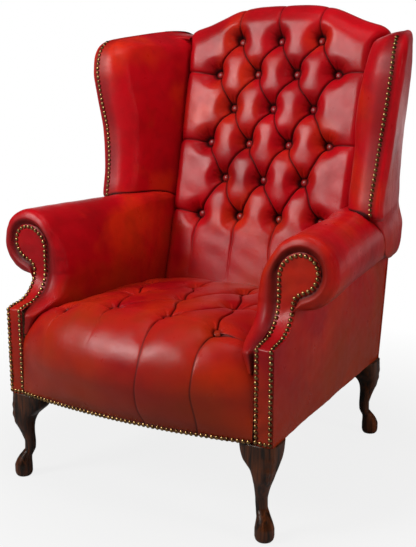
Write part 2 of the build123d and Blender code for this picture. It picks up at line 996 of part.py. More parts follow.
def seat_pleats():
    tools = [
        seat_plane * tool for tool in diamond_pleats(seat_buttons_at, seat_reach)
    ]
    shell = seat_envelope(-pleat_slot) - seat_core(pleat_slot_depth, leg_height)
    for x, y in seat_buttons_at[0]:
        slot = block(
            (x - pleat_slot / 2, along(-overrun), leg_height + lining_thickness),
            (x + pleat_slot / 2, along(seat_first_row), overall_height),
        )
        tools.append(shell & slot)
    return tools


def seat_cover():
    cover = seat_envelope().cut(*seat_neighbours())
    cover = cover.cut(seat_core(seat_layer, seat_foam_z - clearance))
    return cover.cut(*placed_holes(seat_plane, seat_buttons_at)).cut(*seat_pleats())


def seat_foam():
    return seat_core(seat_layer + clearance, seat_foam_z).cut(*seat_neighbours())


def seat_webbing():
    z = leg_height + rail_height + clearance
    near = along(post_gap + board / 4)
    far = chord_y(leg_height) - back_gap - board / 4
    edge = post_inner_x - strap_width / 4
    places = spread(seat_strap_count, -edge, edge, strap_width)
    return [block((x, near, z), (x + strap_width, far, z + seat_strap_thickness)) for x in places]


def seat_cross_webbing():
    z = leg_height + rail_height + 2 * clearance + seat_strap_thickness
    near = along(post_gap + arm_post_depth + strap_width)
    far = post_front_y(leg_height) - strap_width / 2
    edge = inner_side_x(body_length) - board / 4
    places = spread(seat_cross_strap_count, near, far, strap_width)
    return [block((-edge, y, z), (edge, y + strap_width, z + seat_strap_thickness)) for y in places]


def seat_hessian():
    edge = post_inner_x - clearance
    low = (-edge, along(post_gap), hessian_z)
    far = back_face_y(hessian_z) - clearance
    return block(low, (edge, far, hessian_z + hessian_thickness))


# Legs
def leg_section(z, low_x, high_x, low_y, high_y, round_share):
    """Outline of a leg at one height: a rectangle with round corners, in short flats."""
    width, depth = high_x - low_x, high_y - low_y
    radius = round_share * min(width, depth) / 2
    middle_x, middle_y = (low_x + high_x) / 2 - foot_x, (low_y + high_y) / 2 - foot_y
    straight_x, straight_y = width / 2 - radius, depth / 2 - radius
    points = []
    for quarter, (sign_x, sign_y) in enumerate(((1, 1), (-1, 1), (-1, -1), (1, -1))):
        for step in range(leg_corner_points):
            turn = math.pi / 2 * (quarter + step / (leg_corner_points - 1))
            x = middle_x + sign_x * straight_x + radius * math.cos(turn)
            y = middle_y + sign_y * straight_y + radius * math.sin(turn)
            points.append((x, y, z))
    return Face(Wire.make_polygon(points))


def leg(grow=0):
    """A leg with its foot at the origin and its knee towards +X and -Y."""
    sections = []
    for z, low_x, high_x, low_y, high_y, round_share in leg_sections:
        sections.append(
            leg_section(z, low_x - grow, high_x + grow, low_y - grow, high_y + grow, round_share)
        )
    return loft(sections, ruled=True)


bolt_place = (-bolt_inset_x, bolt_inset_y)


def rod(radius, length):
    """A slim upright bar about its middle, in a few flats."""
    return extrude(RegularPolygon(radius, rod_sides), amount=length / 2, both=True)


def bolt_hole():
    middle = leg_height - leg_bolt_in_leg / 2
    return Pos(*bolt_place, middle) * rod(leg_bolt_radius + clearance, leg_bolt_in_leg + clearance)


def placed_legs(shape):
    """The same shape at the front right and the rear right foot."""
    front = Pos(foot_x, along(foot_y), 0) * shape
    turned = mirror(shape, about=Plane.XZ)
    rear = Pos(rear_foot_x, along(body_length - rear_foot_inset), 0) * turned
    return front, rear


def leg_bolt():
    low = leg_height - leg_bolt_in_leg
    high = leg_height + block_height + leg_nut_height + clearance
    shank = Pos(*bolt_place, (low + high) / 2) * rod(leg_bolt_radius, high - low)
    nut = extrude(RegularPolygon(leg_nut_across / 2, 6), amount=leg_nut_height)
    return shank + Pos(*bolt_place, high - leg_nut_height) * nut


def corner_blocks():
    front_x = arm_post_inner_x - clearance
    front_at = along(post_gap + board) + clearance
    rear_x = post_inner_x - clearance
    rear_at = chord_y(leg_height) - back_gap - board - clearance
    shapes = []
    for x, y, turn in ((front_x, front_at, 1), (rear_x, rear_at, -1)):
        points = ((x, y), (x, y + turn * block_side), (x - block_side, y))
        shapes.append(prism_up(points, leg_height, leg_height + block_height))
    middle = leg_height + block_height / 2
    hole = Pos(*bolt_place, middle) * rod(leg_bolt_radius + clearance, 2 * block_height)
    return [shape - cut for shape, cut in zip(shapes, placed_legs(hole))]


def bottom_lining():
    inset = panel_thickness + board / 2
    points = (
        (side_x(0) - inset, along(inset)),
        (side_x(body_length) - inset, along(body_length) - inset),
        (inset - side_x(body_length), along(body_length) - inset),
        (inset - side_x(0), along(inset)),
    )
    sheet = prism_up(points, leg_height - clearance - lining_thickness, leg_height - clearance)
    cuts = []
    for shape in placed_legs(leg(clearance)):
        cuts += both_sides(shape)
    return sheet.cut(*cuts)


# Every sub-part, with the pieces of each side made once and mirrored
front_leg, rear_leg = placed_legs(leg() - bolt_hole())
front_bolt, rear_bolt = placed_legs(leg_bolt())
button = button_shape()

singles = {
    "front_seat_rail": front_seat_rail(),
    "rear_seat_rail": rear_seat_rail(),
    "lower_back_rail": lower_back_rail(),
    "crest_rail": crest_rail(),
    "seat_hessian": seat_hessian(),
    "seat_foam": seat_foam(),
    "seat_cover": seat_cover(),
    "back_foam": back_foam(),
    "back_cover": back_cover(),
    "outer_back_panel": outer_back_panel(),
    "bottom_lining": bottom_lining(),
}
pairs = {
    "seat_rail": side_seat_rail(),
    "arm_post": arm_post(),
    "back_post": back_post(),
    "arm_rail": arm_rail(),
    "wing_post": wing_post(),
    "wing_rail": wing_rail(),
    "arm_facing": arm_facing(),
    "arm_cover": arm_cover(),
    "outer_arm_panel": outer_arm_panel(),
    "wing_cover": wing_cover(),
    "outer_wing_panel": outer_wing_panel(),
    "front_leg": front_leg,
    "rear_leg": rear_leg,
}
groups = {
    "corner_blocks": [side for shape in corner_blocks() for side in both_sides(shape)],
    "leg_bolts": both_sides(front_bolt) + both_sides(rear_bolt),
    "seat_webbing": seat_webbing(),
    "seat_cross_webbing": seat_cross_webbing(),
    "back_webbing": back_webbing(),
    "back_cross_webbing": back_cross_webbing(),
    "seat_buttons": [
        seat_plane * Pos(x, y, 0) * button for row in seat_buttons_at for x, y in row
    ],
    "back_buttons": [
        back_plane * Pos(x, y, 0) * button for row in back_buttons_at for x, y in row
    ],
}

for name, shape in singles.items():
    export_step(shape, f"parts/{name}.step")
for name, shape in pairs.items():
    export_step(shape, f"parts/right_{name}.step")
    export_step(mirrored(shape), f"parts/left_{name}.step")
for name, shapes in groups.items():
    export_step(Compound(children=shapes), f"parts/{name}.step")
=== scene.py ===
import json
import math

import bpy
import numpy as np
from mathutils import Matrix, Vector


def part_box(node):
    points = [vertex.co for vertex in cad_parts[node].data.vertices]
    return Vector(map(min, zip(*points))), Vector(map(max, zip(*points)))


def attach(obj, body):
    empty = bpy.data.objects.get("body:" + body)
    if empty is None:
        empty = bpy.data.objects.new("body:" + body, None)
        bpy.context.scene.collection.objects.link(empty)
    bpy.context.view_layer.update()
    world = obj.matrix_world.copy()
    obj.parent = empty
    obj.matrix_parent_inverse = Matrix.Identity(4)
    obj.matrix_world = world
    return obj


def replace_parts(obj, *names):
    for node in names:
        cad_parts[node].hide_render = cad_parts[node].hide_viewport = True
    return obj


# A buttoned leather wingback chair. Lengths are in metres, in the frame of the CAD part:
# X across, Y from front to back, Z up, with the origin on the floor. A place is a distance
# behind FRONT, the plane of the arm fronts. What both sides have is shaped for the right
# side, where X is above 0, and sign -1 mirrors it.
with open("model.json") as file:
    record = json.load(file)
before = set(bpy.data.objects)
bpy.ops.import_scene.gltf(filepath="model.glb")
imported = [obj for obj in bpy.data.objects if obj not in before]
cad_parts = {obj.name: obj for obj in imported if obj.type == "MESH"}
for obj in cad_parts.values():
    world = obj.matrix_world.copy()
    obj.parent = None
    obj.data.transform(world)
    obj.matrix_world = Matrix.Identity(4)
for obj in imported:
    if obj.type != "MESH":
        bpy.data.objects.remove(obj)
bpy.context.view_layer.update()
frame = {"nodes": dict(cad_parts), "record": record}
random = np.random.default_rng(7)

# Sizes shared by the pieces
FRONT = -0.3675
REAR = 0.4375
BODY_BOTTOM = 0.204
ARM_ROLL_Z = 0.540
ARM_TOP = 0.617
SLOPE = 0.2627
SLOPE_LENGTH = math.sqrt(1 + SLOPE**2)
BACK_FACE = FRONT + 0.567
BACK_FACE_Z = 0.600
NAIL_RADIUS = 0.0047
NAIL_PITCH = 0.0112
BUTTON_RADIUS = 0.0105

# Camera: where the photographer stood, found by fitting points of the photo
CAMERA_PLACE = (1.10837, -1.91926, 0.93577)
CAMERA_TURN = math.radians(30.2655)
CAMERA_TILT = math.radians(12.583)
CAMERA_ROLL = math.radians(-0.1361)
CAMERA_LENS = 61.87
CAMERA_SHIFT = (-0.00815, 0.00708)


# Numbers and curves
def smooth_line(places, values, at):
    """Smooth curve through values at rising places, with no overshoot."""
    places, values = np.asarray(places, float), np.asarray(values, float)
    at = np.clip(at, places[0], places[-1])
    runs = np.diff(places)
    rates = np.diff(values, axis=0) / (runs if values.ndim == 1 else runs[:, None])
    slopes = np.zeros_like(values)
    same = rates[1:] * rates[:-1] > 0
    mean = 2 * rates[1:] * rates[:-1] / np.where(same, rates[1:] + rates[:-1], 1)
    slopes[1:-1] = np.where(same, mean, 0)
    slopes[0], slopes[-1] = rates[0], rates[-1]
    k = np.clip(np.searchsorted(places, at, side="right") - 1, 0, len(runs) - 1)
    t, run = (at - places[k]) / runs[k], runs[k]
    if values.ndim > 1:
        t, run = t[..., None], run[..., None]
    cube, square = t**3, t**2
    return (
        (2 * cube - 3 * square + 1) * values[k]
        + (cube - 2 * square + t) * run * slopes[k]
        + (3 * square - 2 * cube) * values[k + 1]
        + (cube - square) * run * slopes[k + 1]
    )


def length_along(line):
    """Distance of each point from the first, along a line of many points."""
    return np.concatenate([[0], np.cumsum(np.linalg.norm(np.diff(line, axis=0), axis=1))])


def even_steps(line, count):
    """Points at even steps along a line of many points."""
    length = length_along(line)
    at = np.linspace(0, length[-1], count)
    return np.stack([np.interp(at, length, column) for column in line.T], axis=1)


def even_curve(points, count, fine=24):
    """Round curve through points, at even steps along its length."""
    points = np.asarray(points, float)
    ends = np.vstack([2 * points[0] - points[1], points, 2 * points[-1] - points[-2]])
    t = np.linspace(0, 1, fine, endpoint=False)[:, None]
    pieces = []
    for a, b, c, d in zip(ends, ends[1:], ends[2:], ends[3:]):
        bend = t * (2 * a - 5 * b + 4 * c - d + t * (3 * (b - c) + d - a))
        pieces.append(b + 0.5 * t * (c - a + bend))
    return even_steps(np.vstack(pieces + [points[-1:]]), count)


def waves(points, size, seed, count=14):
    """Smooth irregular waves between about -1 and 1, with bumps of a given size."""
    maker = np.random.default_rng(seed)
    turns = maker.normal(size=(count, points.shape[-1]))
    turns *= (maker.uniform(0.6, 1.5, count) / np.linalg.norm(turns, axis=1))[:, None]
    starts = maker.uniform(0, 2 * math.pi, count)
    total = sum(np.sin(points @ (turn * math.pi / size) + start) for turn, start in zip(turns, starts))
    return total / math.sqrt(count)


def ease(value):
    """0 up to 0, 1 from 1 on, and a soft step in between."""
    value = np.clip(value, 0, 1)
    return value * value * (3 - 2 * value)


def bulge(share, power):
    """Height of a rounded form at a share of its half width: 1 in the middle, 0 at the rim."""
    return (1 - np.abs(share) ** power) ** (1 / power)


def unit(vectors):
    """Vectors of length 1 with the same directions."""
    return vectors / np.maximum(np.linalg.norm(vectors, axis=-1, keepdims=True), 1e-9)


def normals_of(grid):
    """Unit normals of a grid of points."""
    return unit(np.cross(np.gradient(grid, axis=1), np.gradient(grid, axis=0)))


# Materials
class Nodes:
    """The node tree of a material or world, with short ways to add to it."""

    def __init__(self, owner):
        owner.use_nodes = True
        self.tree = owner.node_tree

    def set(self, made, inputs):
        """Give each input its value, or link it where the value is another node's output."""
        for key, value in inputs.items():
            socket = made.inputs[key]
            if isinstance(value, bpy.types.NodeSocket):
                self.tree.links.new(value, socket)
            else:
                socket.default_value = (*value, 1) if socket.type == "RGBA" else value
        return made

    def add(self, kind, inputs=None, **settings):
        made = self.tree.nodes.new("ShaderNode" + kind)
        for key, value in settings.items():
            setattr(made, key, value)
        return self.set(made, inputs or {})

    def calc(self, operation, first, second):
        return self.add("Math", {0: first, 1: second}, operation=operation).outputs[0]

    def noise(self, at, scale, detail, roughness=0.5, distortion=0.0):
        return self.add("TexNoise", {"Vector": at, "Scale": scale, "Detail": detail,
                                     "Roughness": roughness, "Distortion": distortion}).outputs["Fac"]

    def ramp(self, value, *stops):
        """Colours, or greys given as one number, between two places of a value."""
        made = self.add("ValToRGB", {"Fac": value})
        for element, (position, colour) in zip(made.color_ramp.elements, stops):
            colour = colour if isinstance(colour, tuple) else (colour,) * 3
            element.position, element.color = position, (*colour, 1)
        return made.outputs["Color"]

    def spread(self, value, start, end, first=0.0, last=1.0):
        """A number that goes from first to last while a value goes from start to end."""
        return self.add("MapRange", {"Value": value, "From Min": start, "From Max": end,
                                     "To Min": first, "To Max": last}).outputs["Result"]

    def mix(self, factor, first, second):
        """Mix of two colours. The mix node has its colours at inputs 6 and 7 and output 2."""
        return self.add("Mix", {0: factor, 6: first, 7: second}, data_type="RGBA").outputs[2]

    def bump(self, height, strength, distance, **over):
        inputs = {"Height": height, "Strength": strength, "Distance": distance, **over}
        return self.add("Bump", inputs).outputs["Normal"]


def new_material(name):
    """A material, its nodes, its main shader and the place of each point."""
    material = bpy.data.materials.new(name)
    nodes = Nodes(material)
    return material, nodes, nodes.tree.nodes["Principled BSDF"], nodes.add("TexCoord").outputs["Object"]


def leather(name, main, dark, rubbed, grain=1.0, painted_low_shade=(0.21, 0.022, 0.002)):
    """Hand-dyed leather: dark clouds in the dye, and a warmer red where the dye is rubbed off.

    It has painted shade: it is browner and darker low down, where less light falls, and nearly
    black where a point's depth, which its mesh gives, says that it lies in a pleat or hollow.
    """
    material, nodes, shader, place = new_material(name)
    depth = nodes.add("Attribute", attribute_name="depth").outputs["Fac"]
    clouds = nodes.noise(place, 5.0, 4.0, 0.55)
    blotch = nodes.noise(place, 30.0, 4.0, 0.6)
    away = nodes.add("VectorMath", {0: place, 1: (3.1, 1.7, 2.3)}, operation="ADD").outputs["Vector"]
    rubs = nodes.noise(away, 6.5, 3.0)
    height = nodes.calc("MULTIPLY", nodes.add("SeparateXYZ", {"Vector": place}).outputs["Z"], clouds)
    deep = tuple(0.10 * value for value in dark)
    colour = nodes.mix(nodes.ramp(clouds, (0.44, 0), (0.74, 0.75)), main, dark)
    colour = nodes.mix(nodes.ramp(rubs, (0.50, 0), (0.68, 0.75)), colour, rubbed)
    colour = nodes.mix(nodes.ramp(blotch, (0.46, 0), (0.66, 0.25)), colour, dark)
    # painted shade: browner and darker low down, where less light falls
    colour = nodes.mix(nodes.spread(height, 0.10, 0.25, 0.85, 0.0), colour, painted_low_shade)
    # painted shade: the near-black deep colour in pleats and hollows, as the mesh's depth gives it
    colour = nodes.mix(nodes.ramp(depth, (0.18, 0), (0.85, 0.95)), colour, deep)
    rough = nodes.ramp(blotch, (0.3, 0.27), (0.7, 0.36))
    rough = nodes.calc("ADD", rough, nodes.spread(depth, 0.0, 1.0, 0.0, 0.35))
    pores = nodes.add("TexVoronoi", {"Vector": place, "Scale": 620.0}, feature="DISTANCE_TO_EDGE")
    skin = nodes.bump(nodes.ramp(pores.outputs["Distance"], (0.0, 0), (0.22, 1)), 0.16 * grain, 0.0004)
    skin = nodes.bump(nodes.noise(place, 130.0, 3.0), 0.18 * grain, 0.0012, Normal=skin)
    nodes.set(shader, {"Base Color": colour, "Roughness": rough, "Specular IOR Level": 0.24,
                       "Normal": skin})
    return material


def wood(name, light, dark, roughness):
    """Polished timber with its grain upright."""
    material, nodes, shader, place = new_material(name)
    long = nodes.add("Mapping", {"Vector": place, "Scale": (60.0, 60.0, 7.0)}).outputs["Vector"]
    figure = nodes.noise(long, 1.6, 6.0, distortion=0.8)
    nodes.set(shader, {
        "Base Color": nodes.ramp(figure, (0.38, dark), (0.68, light)), "Roughness": roughness,
        "Coat Weight": 0.12, "Coat Roughness": 0.15, "Specular IOR Level": 0.3,
        "Normal": nodes.bump(figure, 0.15, 0.0006),
    })
    return material


def metal(name, light, dark, roughness):
    material, nodes, shader, place = new_material(name)
    colour = nodes.ramp(nodes.noise(place, 160.0, 3.0), (0.35, dark), (0.6, light))
    nodes.set(shader, {"Base Color": colour, "Metallic": 1.0, "Roughness": roughness})
    return material


def cloth(name, light, dark, pitch):
    """Woven cloth whose threads have a given pitch."""
    material, nodes, shader, place = new_material(name)
    weave = nodes.add("TexBrick", {"Vector": place, "Scale": 1 / pitch, "Mortar Size": 0.06,
                                   "Color1": light, "Color2": light, "Mortar": dark})
    nodes.set(shader, {"Base Color": weave.outputs["Color"], "Roughness": 0.9,
                       "Normal": nodes.bump(weave.outputs["Fac"], 0.3, 0.0005)})
    return material


jute = cloth("jute_webbing", (0.42, 0.32, 0.20), (0.22, 0.16, 0.10), 0.002)
SLOTS = {
    "red_leather": leather("red_leather", (0.37, 0.002, 0.006), (0.15, 0.002, 0.003), (0.44, 0.018, 0.003)),
    "button_leather": leather(
        "button_leather", (0.25, 0.002, 0.006), (0.12, 0.002, 0.003), (0.28, 0.010, 0.003), grain=0.6),
    "dark_mahogany": wood("dark_mahogany", (0.085, 0.022, 0.006), (0.008, 0.003, 0.001), 0.30),
    "frame_timber": wood("frame_timber", (0.60, 0.45, 0.28), (0.42, 0.29, 0.17), 0.7),
    "seat_foam": cloth("foam", (0.78, 0.72, 0.52), (0.60, 0.54, 0.38), 0.003),
    "jute_webbing": jute,
    "hessian": jute,
    "black_lining": cloth("black_lining", (0.022, 0.022, 0.022), (0.008, 0.008, 0.008), 0.001),
    "bolt_steel": metal("bolt_steel", (0.60, 0.60, 0.62), (0.42, 0.42, 0.44), 0.4),
}
brass = metal("nail_brass", (0.40, 0.25, 0.10), (0.13, 0.07, 0.025), 0.34)
for part in frame["record"]["subparts"]:
    shown = frame["nodes"][part["node"]]
    shown.data.materials.clear()
    shown.data.materials.append(SLOTS[part["material_slot"]])


# Meshes
def placed(name, data):
    """A new object in the scene."""
    made = bpy.data.objects.new(name, data)
    bpy.context.scene.collection.objects.link(made)
    return made


def mesh_piece(name, points, faces, depth=None, slot="red_leather", material=None):
    """A piece of the chair. Depth is painted shade: how dark each point is painted, 0 in the open, 1 in a
    pleat.
    """
    mesh = bpy.data.meshes.new(name)
    mesh.from_pydata([tuple(p) for p in points], [], [tuple(f) for f in faces])
    mesh.polygons.foreach_set("use_smooth", [True] * len(mesh.polygons))
    layer = mesh.attributes.new("depth", "FLOAT", "POINT")
    layer.data.foreach_set("value", np.zeros(len(points)) if depth is None else np.ravel(depth))
    mesh.materials.append(material or SLOTS[slot])
    mesh.update()
    piece = placed(name, mesh)
    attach(piece, "root")
    return piece


def grid_faces(rows, columns, closed=False, start=0):
    r, c = np.meshgrid(np.arange(rows - 1), np.arange(columns if closed else columns - 1), indexing="ij")
    right = (c + 1) % columns
    low, high = r * columns, (r + 1) * columns
    return (np.stack([low + c, low + right, high + right, high + c], -1).reshape(-1, 4) + start).tolist()


def grid_piece(name, grid, depth=None, sign=1, flip=False, slot="red_leather"):
    """A sheet through a grid of points. Sign -1 gives the mirror image for the other side."""
    faces = grid_faces(*grid.shape[:2])
    if flip != (sign < 0):
        faces = [face[::-1] for face in faces]
    return mesh_piece(name, (grid * (sign, 1, 1)).reshape(-1, 3), faces, depth, slot)


def tube_piece(name, grid, flip, slot):
    """A solid through closed rings of points, with both ends capped."""
    rows, columns = grid.shape[:2]
    faces = grid_faces(rows, columns, closed=True)
    faces += [list(range(columns))[::-1], [(rows - 1) * columns + k for k in range(columns)]]
    if flip:
        faces = [face[::-1] for face in faces]
    return mesh_piece(name, grid.reshape(-1, 3), faces, slot=slot)


def dome_piece(name, places, normals, radius, outline, sides, slot, material=None):
    """Domes from rings, each a share of the radius and a height, and a top point."""
    *rings, (_, top) = outline
    turns = np.linspace(0, 2 * math.pi, sides, endpoint=False)
    points, faces = [], []
    for place, normal in zip(places, unit(np.asarray(normals, float))):
        side = unit(np.cross(normal, (0.3, 0.2, 1.0) if abs(normal[2]) < 0.9 else (1.0, 0, 0)))
        other = np.cross(normal, side)
        start = len(points)
        for share, height in rings:
            for turn in turns:
                rim = radius * share * (math.cos(turn) * side + math.sin(turn) * other)
                points.append(place + rim + height * normal)
        points.append(place + top * normal)
        faces += grid_faces(len(rings), sides, closed=True, start=start)
        last = start + (len(rings) - 1) * sides
        faces += [(last + k, last + (k + 1) % sides, len(points) - 1) for k in range(sides)]
    return mesh_piece(name, points, faces, slot=slot, material=material)


# Buttons and nails: share of the radius and height of each ring, and the top
BUTTON_OUTLINE = (
    (0.62, -0.0050), (0.90, -0.0032), (1.0, -0.0004), (0.95, 0.0020), (0.78, 0.0040), (0.48, 0.0054),
    (0, 0.0058),
)
NAIL_OUTLINE = ((1.0, -0.0004), (0.96, 0.0009), (0.78, 0.0022), (0.42, 0.0030), (0, 0.0033))
NAIL_STRAY = 0.00012


def button_piece(name, places, normals):
    """Small leather domes, each on a short collar that sinks into its hollow."""
    return dome_piece(name, places, normals, BUTTON_RADIUS, BUTTON_OUTLINE, 20, "button_leather")


def nail_piece(name, places, normals, sign=1):
    """Brass dome nails, each a hair's breadth out of line."""
    places = [place * (sign, 1, 1) + random.normal(0, NAIL_STRAY, 3) for place in places]
    dome_piece(name, places, normals * (sign, 1, 1), NAIL_RADIUS, NAIL_OUTLINE, 12, "red_leather", brass)


def nails_along(line, normals):
    """Nails at their usual pitch along a line of many points."""
    line, normals = np.asarray(line, float), np.asarray(normals, float)
    count = max(2, int(round(length_along(line)[-1] / NAIL_PITCH)) + 1)
    # the normals ride along, too small to count in the length
    both = even_steps(np.hstack([line, normals * 1e-6]), count)
    return both[:, :3], both[:, 3:]


# Buttoned padding: pleats and buttons on a flat map of the surface. A pleat is its two ends
# on the map and its strength at each.
PLEAT_SLACK = 0.62  # share of its depth that a pleat between two buttons loses halfway
PLEAT_FADE = 0.030  # length over which a pleat with a free end becomes a fine line
PLEAT_LINE = 0.0024  # half width of the line at the bottom of a pleat
PLEAT_LINE_DEPTH = 0.0038
WELL_RADIUS = 0.0175  # hollow round a button
# reach of the painted shade in the hollow round a button
WELL_SHADE_RADIUS = 0.0150
GATHER_RADIUS = 0.021  # ring of small gathers round a button
GATHER_WIDTH = 0.010
GATHER_DEPTH = 0.0009
EDGE_SHARE = 0.10  # part of a cover's half width over which its side edge is round


def pleat_gap(p, q, start, end):
    """Distance of each point from a pleat, and how far along it the nearest place is."""
    (p1, q1), (p2, q2) = start, end
    run = (p2 - p1, q2 - q1)
    share = ((p - p1) * run[0] + (q - q1) * run[1]) / (run[0] ** 2 + run[1] ** 2)
    share = np.clip(share, 0, 1)
    return np.hypot(p - p1 - share * run[0], q - q1 - share * run[1]), share


def buttoned(p, q, pleats, buttons, reach, depth, well):
    """How far the leather is pulled in at each point, and how much painted shade it gets, 0 to 1.

    A pleat between two buttons is deep at both and shallow halfway; any other pleat starts
    at its button and soon fades to a fine line of the strength that is given for its end.
    """
    puff = np.ones_like(p)
    slot = np.zeros_like(p)
    for start, end, first, last in pleats:
        gap, share = pleat_gap(p, q, start, end)
        if first == last:
            strength = first * (1 - PLEAT_SLACK * np.sin(math.pi * share))
        else:
            strength = last + (first - last) * np.exp(-share * math.dist(start, end) / PLEAT_FADE)
        line = last + (first - last) * (1 - share)
        arch = (1 - (1 - np.clip(gap / reach, 0, 1)) ** 2.2) ** 0.62
        puff = puff * (1 - np.clip(strength, 0, 1) * (1 - arch))
        slot = np.maximum(slot, line * np.exp(-((gap / PLEAT_LINE) ** 2)))
    pull = depth * (1 - puff) + PLEAT_LINE_DEPTH * slot
    # painted shade along the bottom of each pleat and in each button's hollow
    pleat_shade = 0.95 * slot
    for k, (bp, bq) in enumerate(buttons):
        far = np.hypot(p - bp, q - bq)
        turn = np.arctan2(q - bq, p - bp)
        ripple = np.sin(10 * turn + k) + 0.7 * np.sin(17 * turn + 2.3 * k)
        above = 0.35 + 0.65 * np.clip(np.sin(turn), 0, 1)
        ring = np.exp(-(((far - GATHER_RADIUS) / GATHER_WIDTH) ** 2))
        pull = pull + well * np.exp(-((far / WELL_RADIUS) ** 2)) + GATHER_DEPTH * ripple * above * ring
        pleat_shade = np.maximum(pleat_shade, np.exp(-((far / WELL_SHADE_RADIUS) ** 4)))
    return pull, pleat_shade


def wandering(flat, amount, size, seed):
    """Both coordinates of a map, moved to and fro a little so that no pleat is dead straight."""
    return [flat[..., k] + amount * waves(flat, size, seed + k) for k in (0, 1)]


def lattice(rows, widest):
    """Straight pleats between each button and its neighbours in the next row."""
    pleats = []
    for upper, lower in zip(rows, rows[1:]):
        pleats += [(a, b, 1.0, 1.0) for a in upper for b in lower if abs(a[0] - b[0]) < widest]
    return pleats


def edge_share(shares):
    """How near each column is to the side edge of its cover: 0 to 1 over the round part."""
    return np.clip((np.abs(shares) - (1 - EDGE_SHARE)) / EDGE_SHARE, 0, 1)


def edge_fall(edge):
    """Fall of a round edge, 0 where it starts and 1 at the edge itself."""
    return 1 - bulge(np.minimum(edge, 0.999), 2)


def seated(flat, surface, normal, buttons, lift):
    """Where buttons sit on a surface, and which way they face."""
    places, directions = [], []
    for button in buttons:
        near = np.unravel_index(np.hypot(*np.moveaxis(flat - button, -1, 0)).argmin(), flat.shape[:2])
        places.append(surface[near] + normal[near] * lift)
        directions.append(normal[near])
    return places, directions


# The back: raked face, round crest and a flap down the rear.
# CREST is how far out a point of the crest is, and its height.
CREST = ((0, 1.094), (0.065, 1.0915), (0.103, 1.0885), (0.129, 1.084), (0.153, 1.0755),
         (0.176, 1.066), (0.208, 1.0525), (0.239, 1.0425), (0.262, 1.036), (0.282, 1.026))
BACK_ROWS = (1.000, 0.9162, 0.8304, 0.7412, 0.6499, 0.5549)
BACK_PITCH = 0.1138
BACK_LOW = 0.352
FLAP_LOW = 0.948
FLAP_HALF = 0.316
BACK_BUTTONING = (0.050, 0.023, 0.015)  # reach of a pleat, its depth, a button's own depth
BACK_BUTTON_SINK = 0.0085  # a button deep in the raked pad shows this much lower
BACK_TUCK = 0.0035  # how far the cover goes in between the wings
CREST_SPREAD = 0.018  # how much wider it is above the wings
FLAP_TURN = 0.022  # thickness over which the crest's end turns down to the rear
BACK_EDGE_FALL = 0.026
BACK_WALL = 0.06


def back_half_width(z):
    return 0.249 + 0.0217 * np.clip(z - ARM_ROLL_Z, 0, None)


def back_face(z):
    return BACK_FACE + SLOPE * (z - BACK_FACE_Z)


def slope_place(z):
    """Distance along the raked face, used as the second coordinate of its map."""
    return (z - BACK_FACE_Z) * SLOPE_LENGTH


def back_profile(x, count):
    """Side view of the back at one place across it, and the map coordinate of its points."""
    high = float(smooth_line(*zip(*CREST), abs(x)))
    radius = (REAR - back_face(high)) / (SLOPE_LENGTH + 1 - SLOPE)
    centre = np.array([REAR - radius, high - radius])
    turns = np.linspace(math.atan2(SLOPE, -1), 0, 40)
    arc = centre + radius * np.stack([np.cos(turns), np.sin(turns)], 1)
    face_z = np.linspace(BACK_LOW, arc[0, 1], 80)[:-1]
    face = np.stack([back_face(face_z), face_z], 1)
    line = even_steps(np.vstack([face, arc, (REAR, FLAP_LOW)]), count)
    return line, slope_place(BACK_LOW) + length_along(line)


def back_button_rows():
    """Places of the buttons on the map: rows of three and four."""
    rows = []
    for k, z in enumerate(BACK_ROWS):
        count = 3 + k % 2
        place = slope_place(z + BACK_BUTTON_SINK)
        rows.append([((j - (count - 1) / 2) * BACK_PITCH, place) for j in range(count)])
    return rows


def build_back():
    rows, columns = ((520, 330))
    shares = np.linspace(-1, 1, columns)
    grid = np.zeros((rows, columns, 3))
    q = np.zeros((rows, columns))
    for j, share in enumerate(shares):
        line, q[:, j] = back_profile(share * CREST[-1][0], rows)
        half = back_half_width(line[:, 1]) + BACK_TUCK + CREST_SPREAD * ease((line[:, 1] - 0.985) / 0.045)
        half = half + (FLAP_HALF - half) * ease((line[:, 0] - REAR + FLAP_TURN) / 0.020)
        grid[:, j] = np.stack([share * half, line[:, 0], line[:, 1]], 1)
    flat = np.stack([grid[..., 0], q], -1)
    button_rows = back_button_rows()
    buttons = [button for row in button_rows for button in row]
    pleats = lattice(button_rows, BACK_PITCH)
    for row in button_rows[1::2]:
        pleats += [((x, s), (math.copysign(0.30, x), s + 0.004), 0.95, 0.30) for x, s in (row[0], row[-1])]
    pleats += [((x, s), (x * 1.04, s + 0.215), 0.95, 0.10) for x, s in button_rows[0]]
    pleats += [((x, s), (x * 1.02, s - 0.165), 0.95, 0.06) for x, s in button_rows[-1]]
    pull, pleat_shade = buttoned(*wandering(flat, 0.0022, 0.05, 3), pleats, buttons, *BACK_BUTTONING)
    tight = 1 - 0.8 * ease((q - slope_place(1.0)) / 0.07)
    pull = pull + BACK_EDGE_FALL * edge_fall(edge_share(shares)) * tight
    pull = pull + 0.0003 * waves(flat, 0.03, 5)
    normal = normals_of(grid)
    normal *= -np.sign(normal[rows // 3, columns // 2, 1])
    shaped = grid - normal * pull[..., None]
    places, directions = seated(flat, shaped, normal, buttons, 0.004)
    # painted shade in the pleats and hollows
    dark = np.clip(0.9 * pleat_shade + 12.0 * np.clip(pull - 0.014, 0, 0.04), 0, 1)
    # the cover's sides go in behind the wings, and below the wing tops they are painted with shade
    way = np.gradient(grid[:, [0, -1]], axis=0)
    inward = BACK_WALL * unit(np.stack([0 * way[..., 0], way[..., 2], -way[..., 1]], -1))
    inward *= np.where(grid[:, [0, -1], 1:2] > REAR - FLAP_TURN, 0.3, 1.0)
    shaped = np.hstack([shaped[:, :1] + inward[:, :1], shaped, shaped[:, -1:] + inward[:, 1:]])
    gap = 1 - ease((q[:, [0, -1]] - slope_place(0.97)) / 0.05)
    dark = np.hstack([gap[:, :1], dark, gap[:, 1:]])
    piece = grid_piece("back_leather", shaped, dark)
    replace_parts(piece, "back_cover")
    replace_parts(button_piece("back_button_tops", places, directions), "back_buttons")


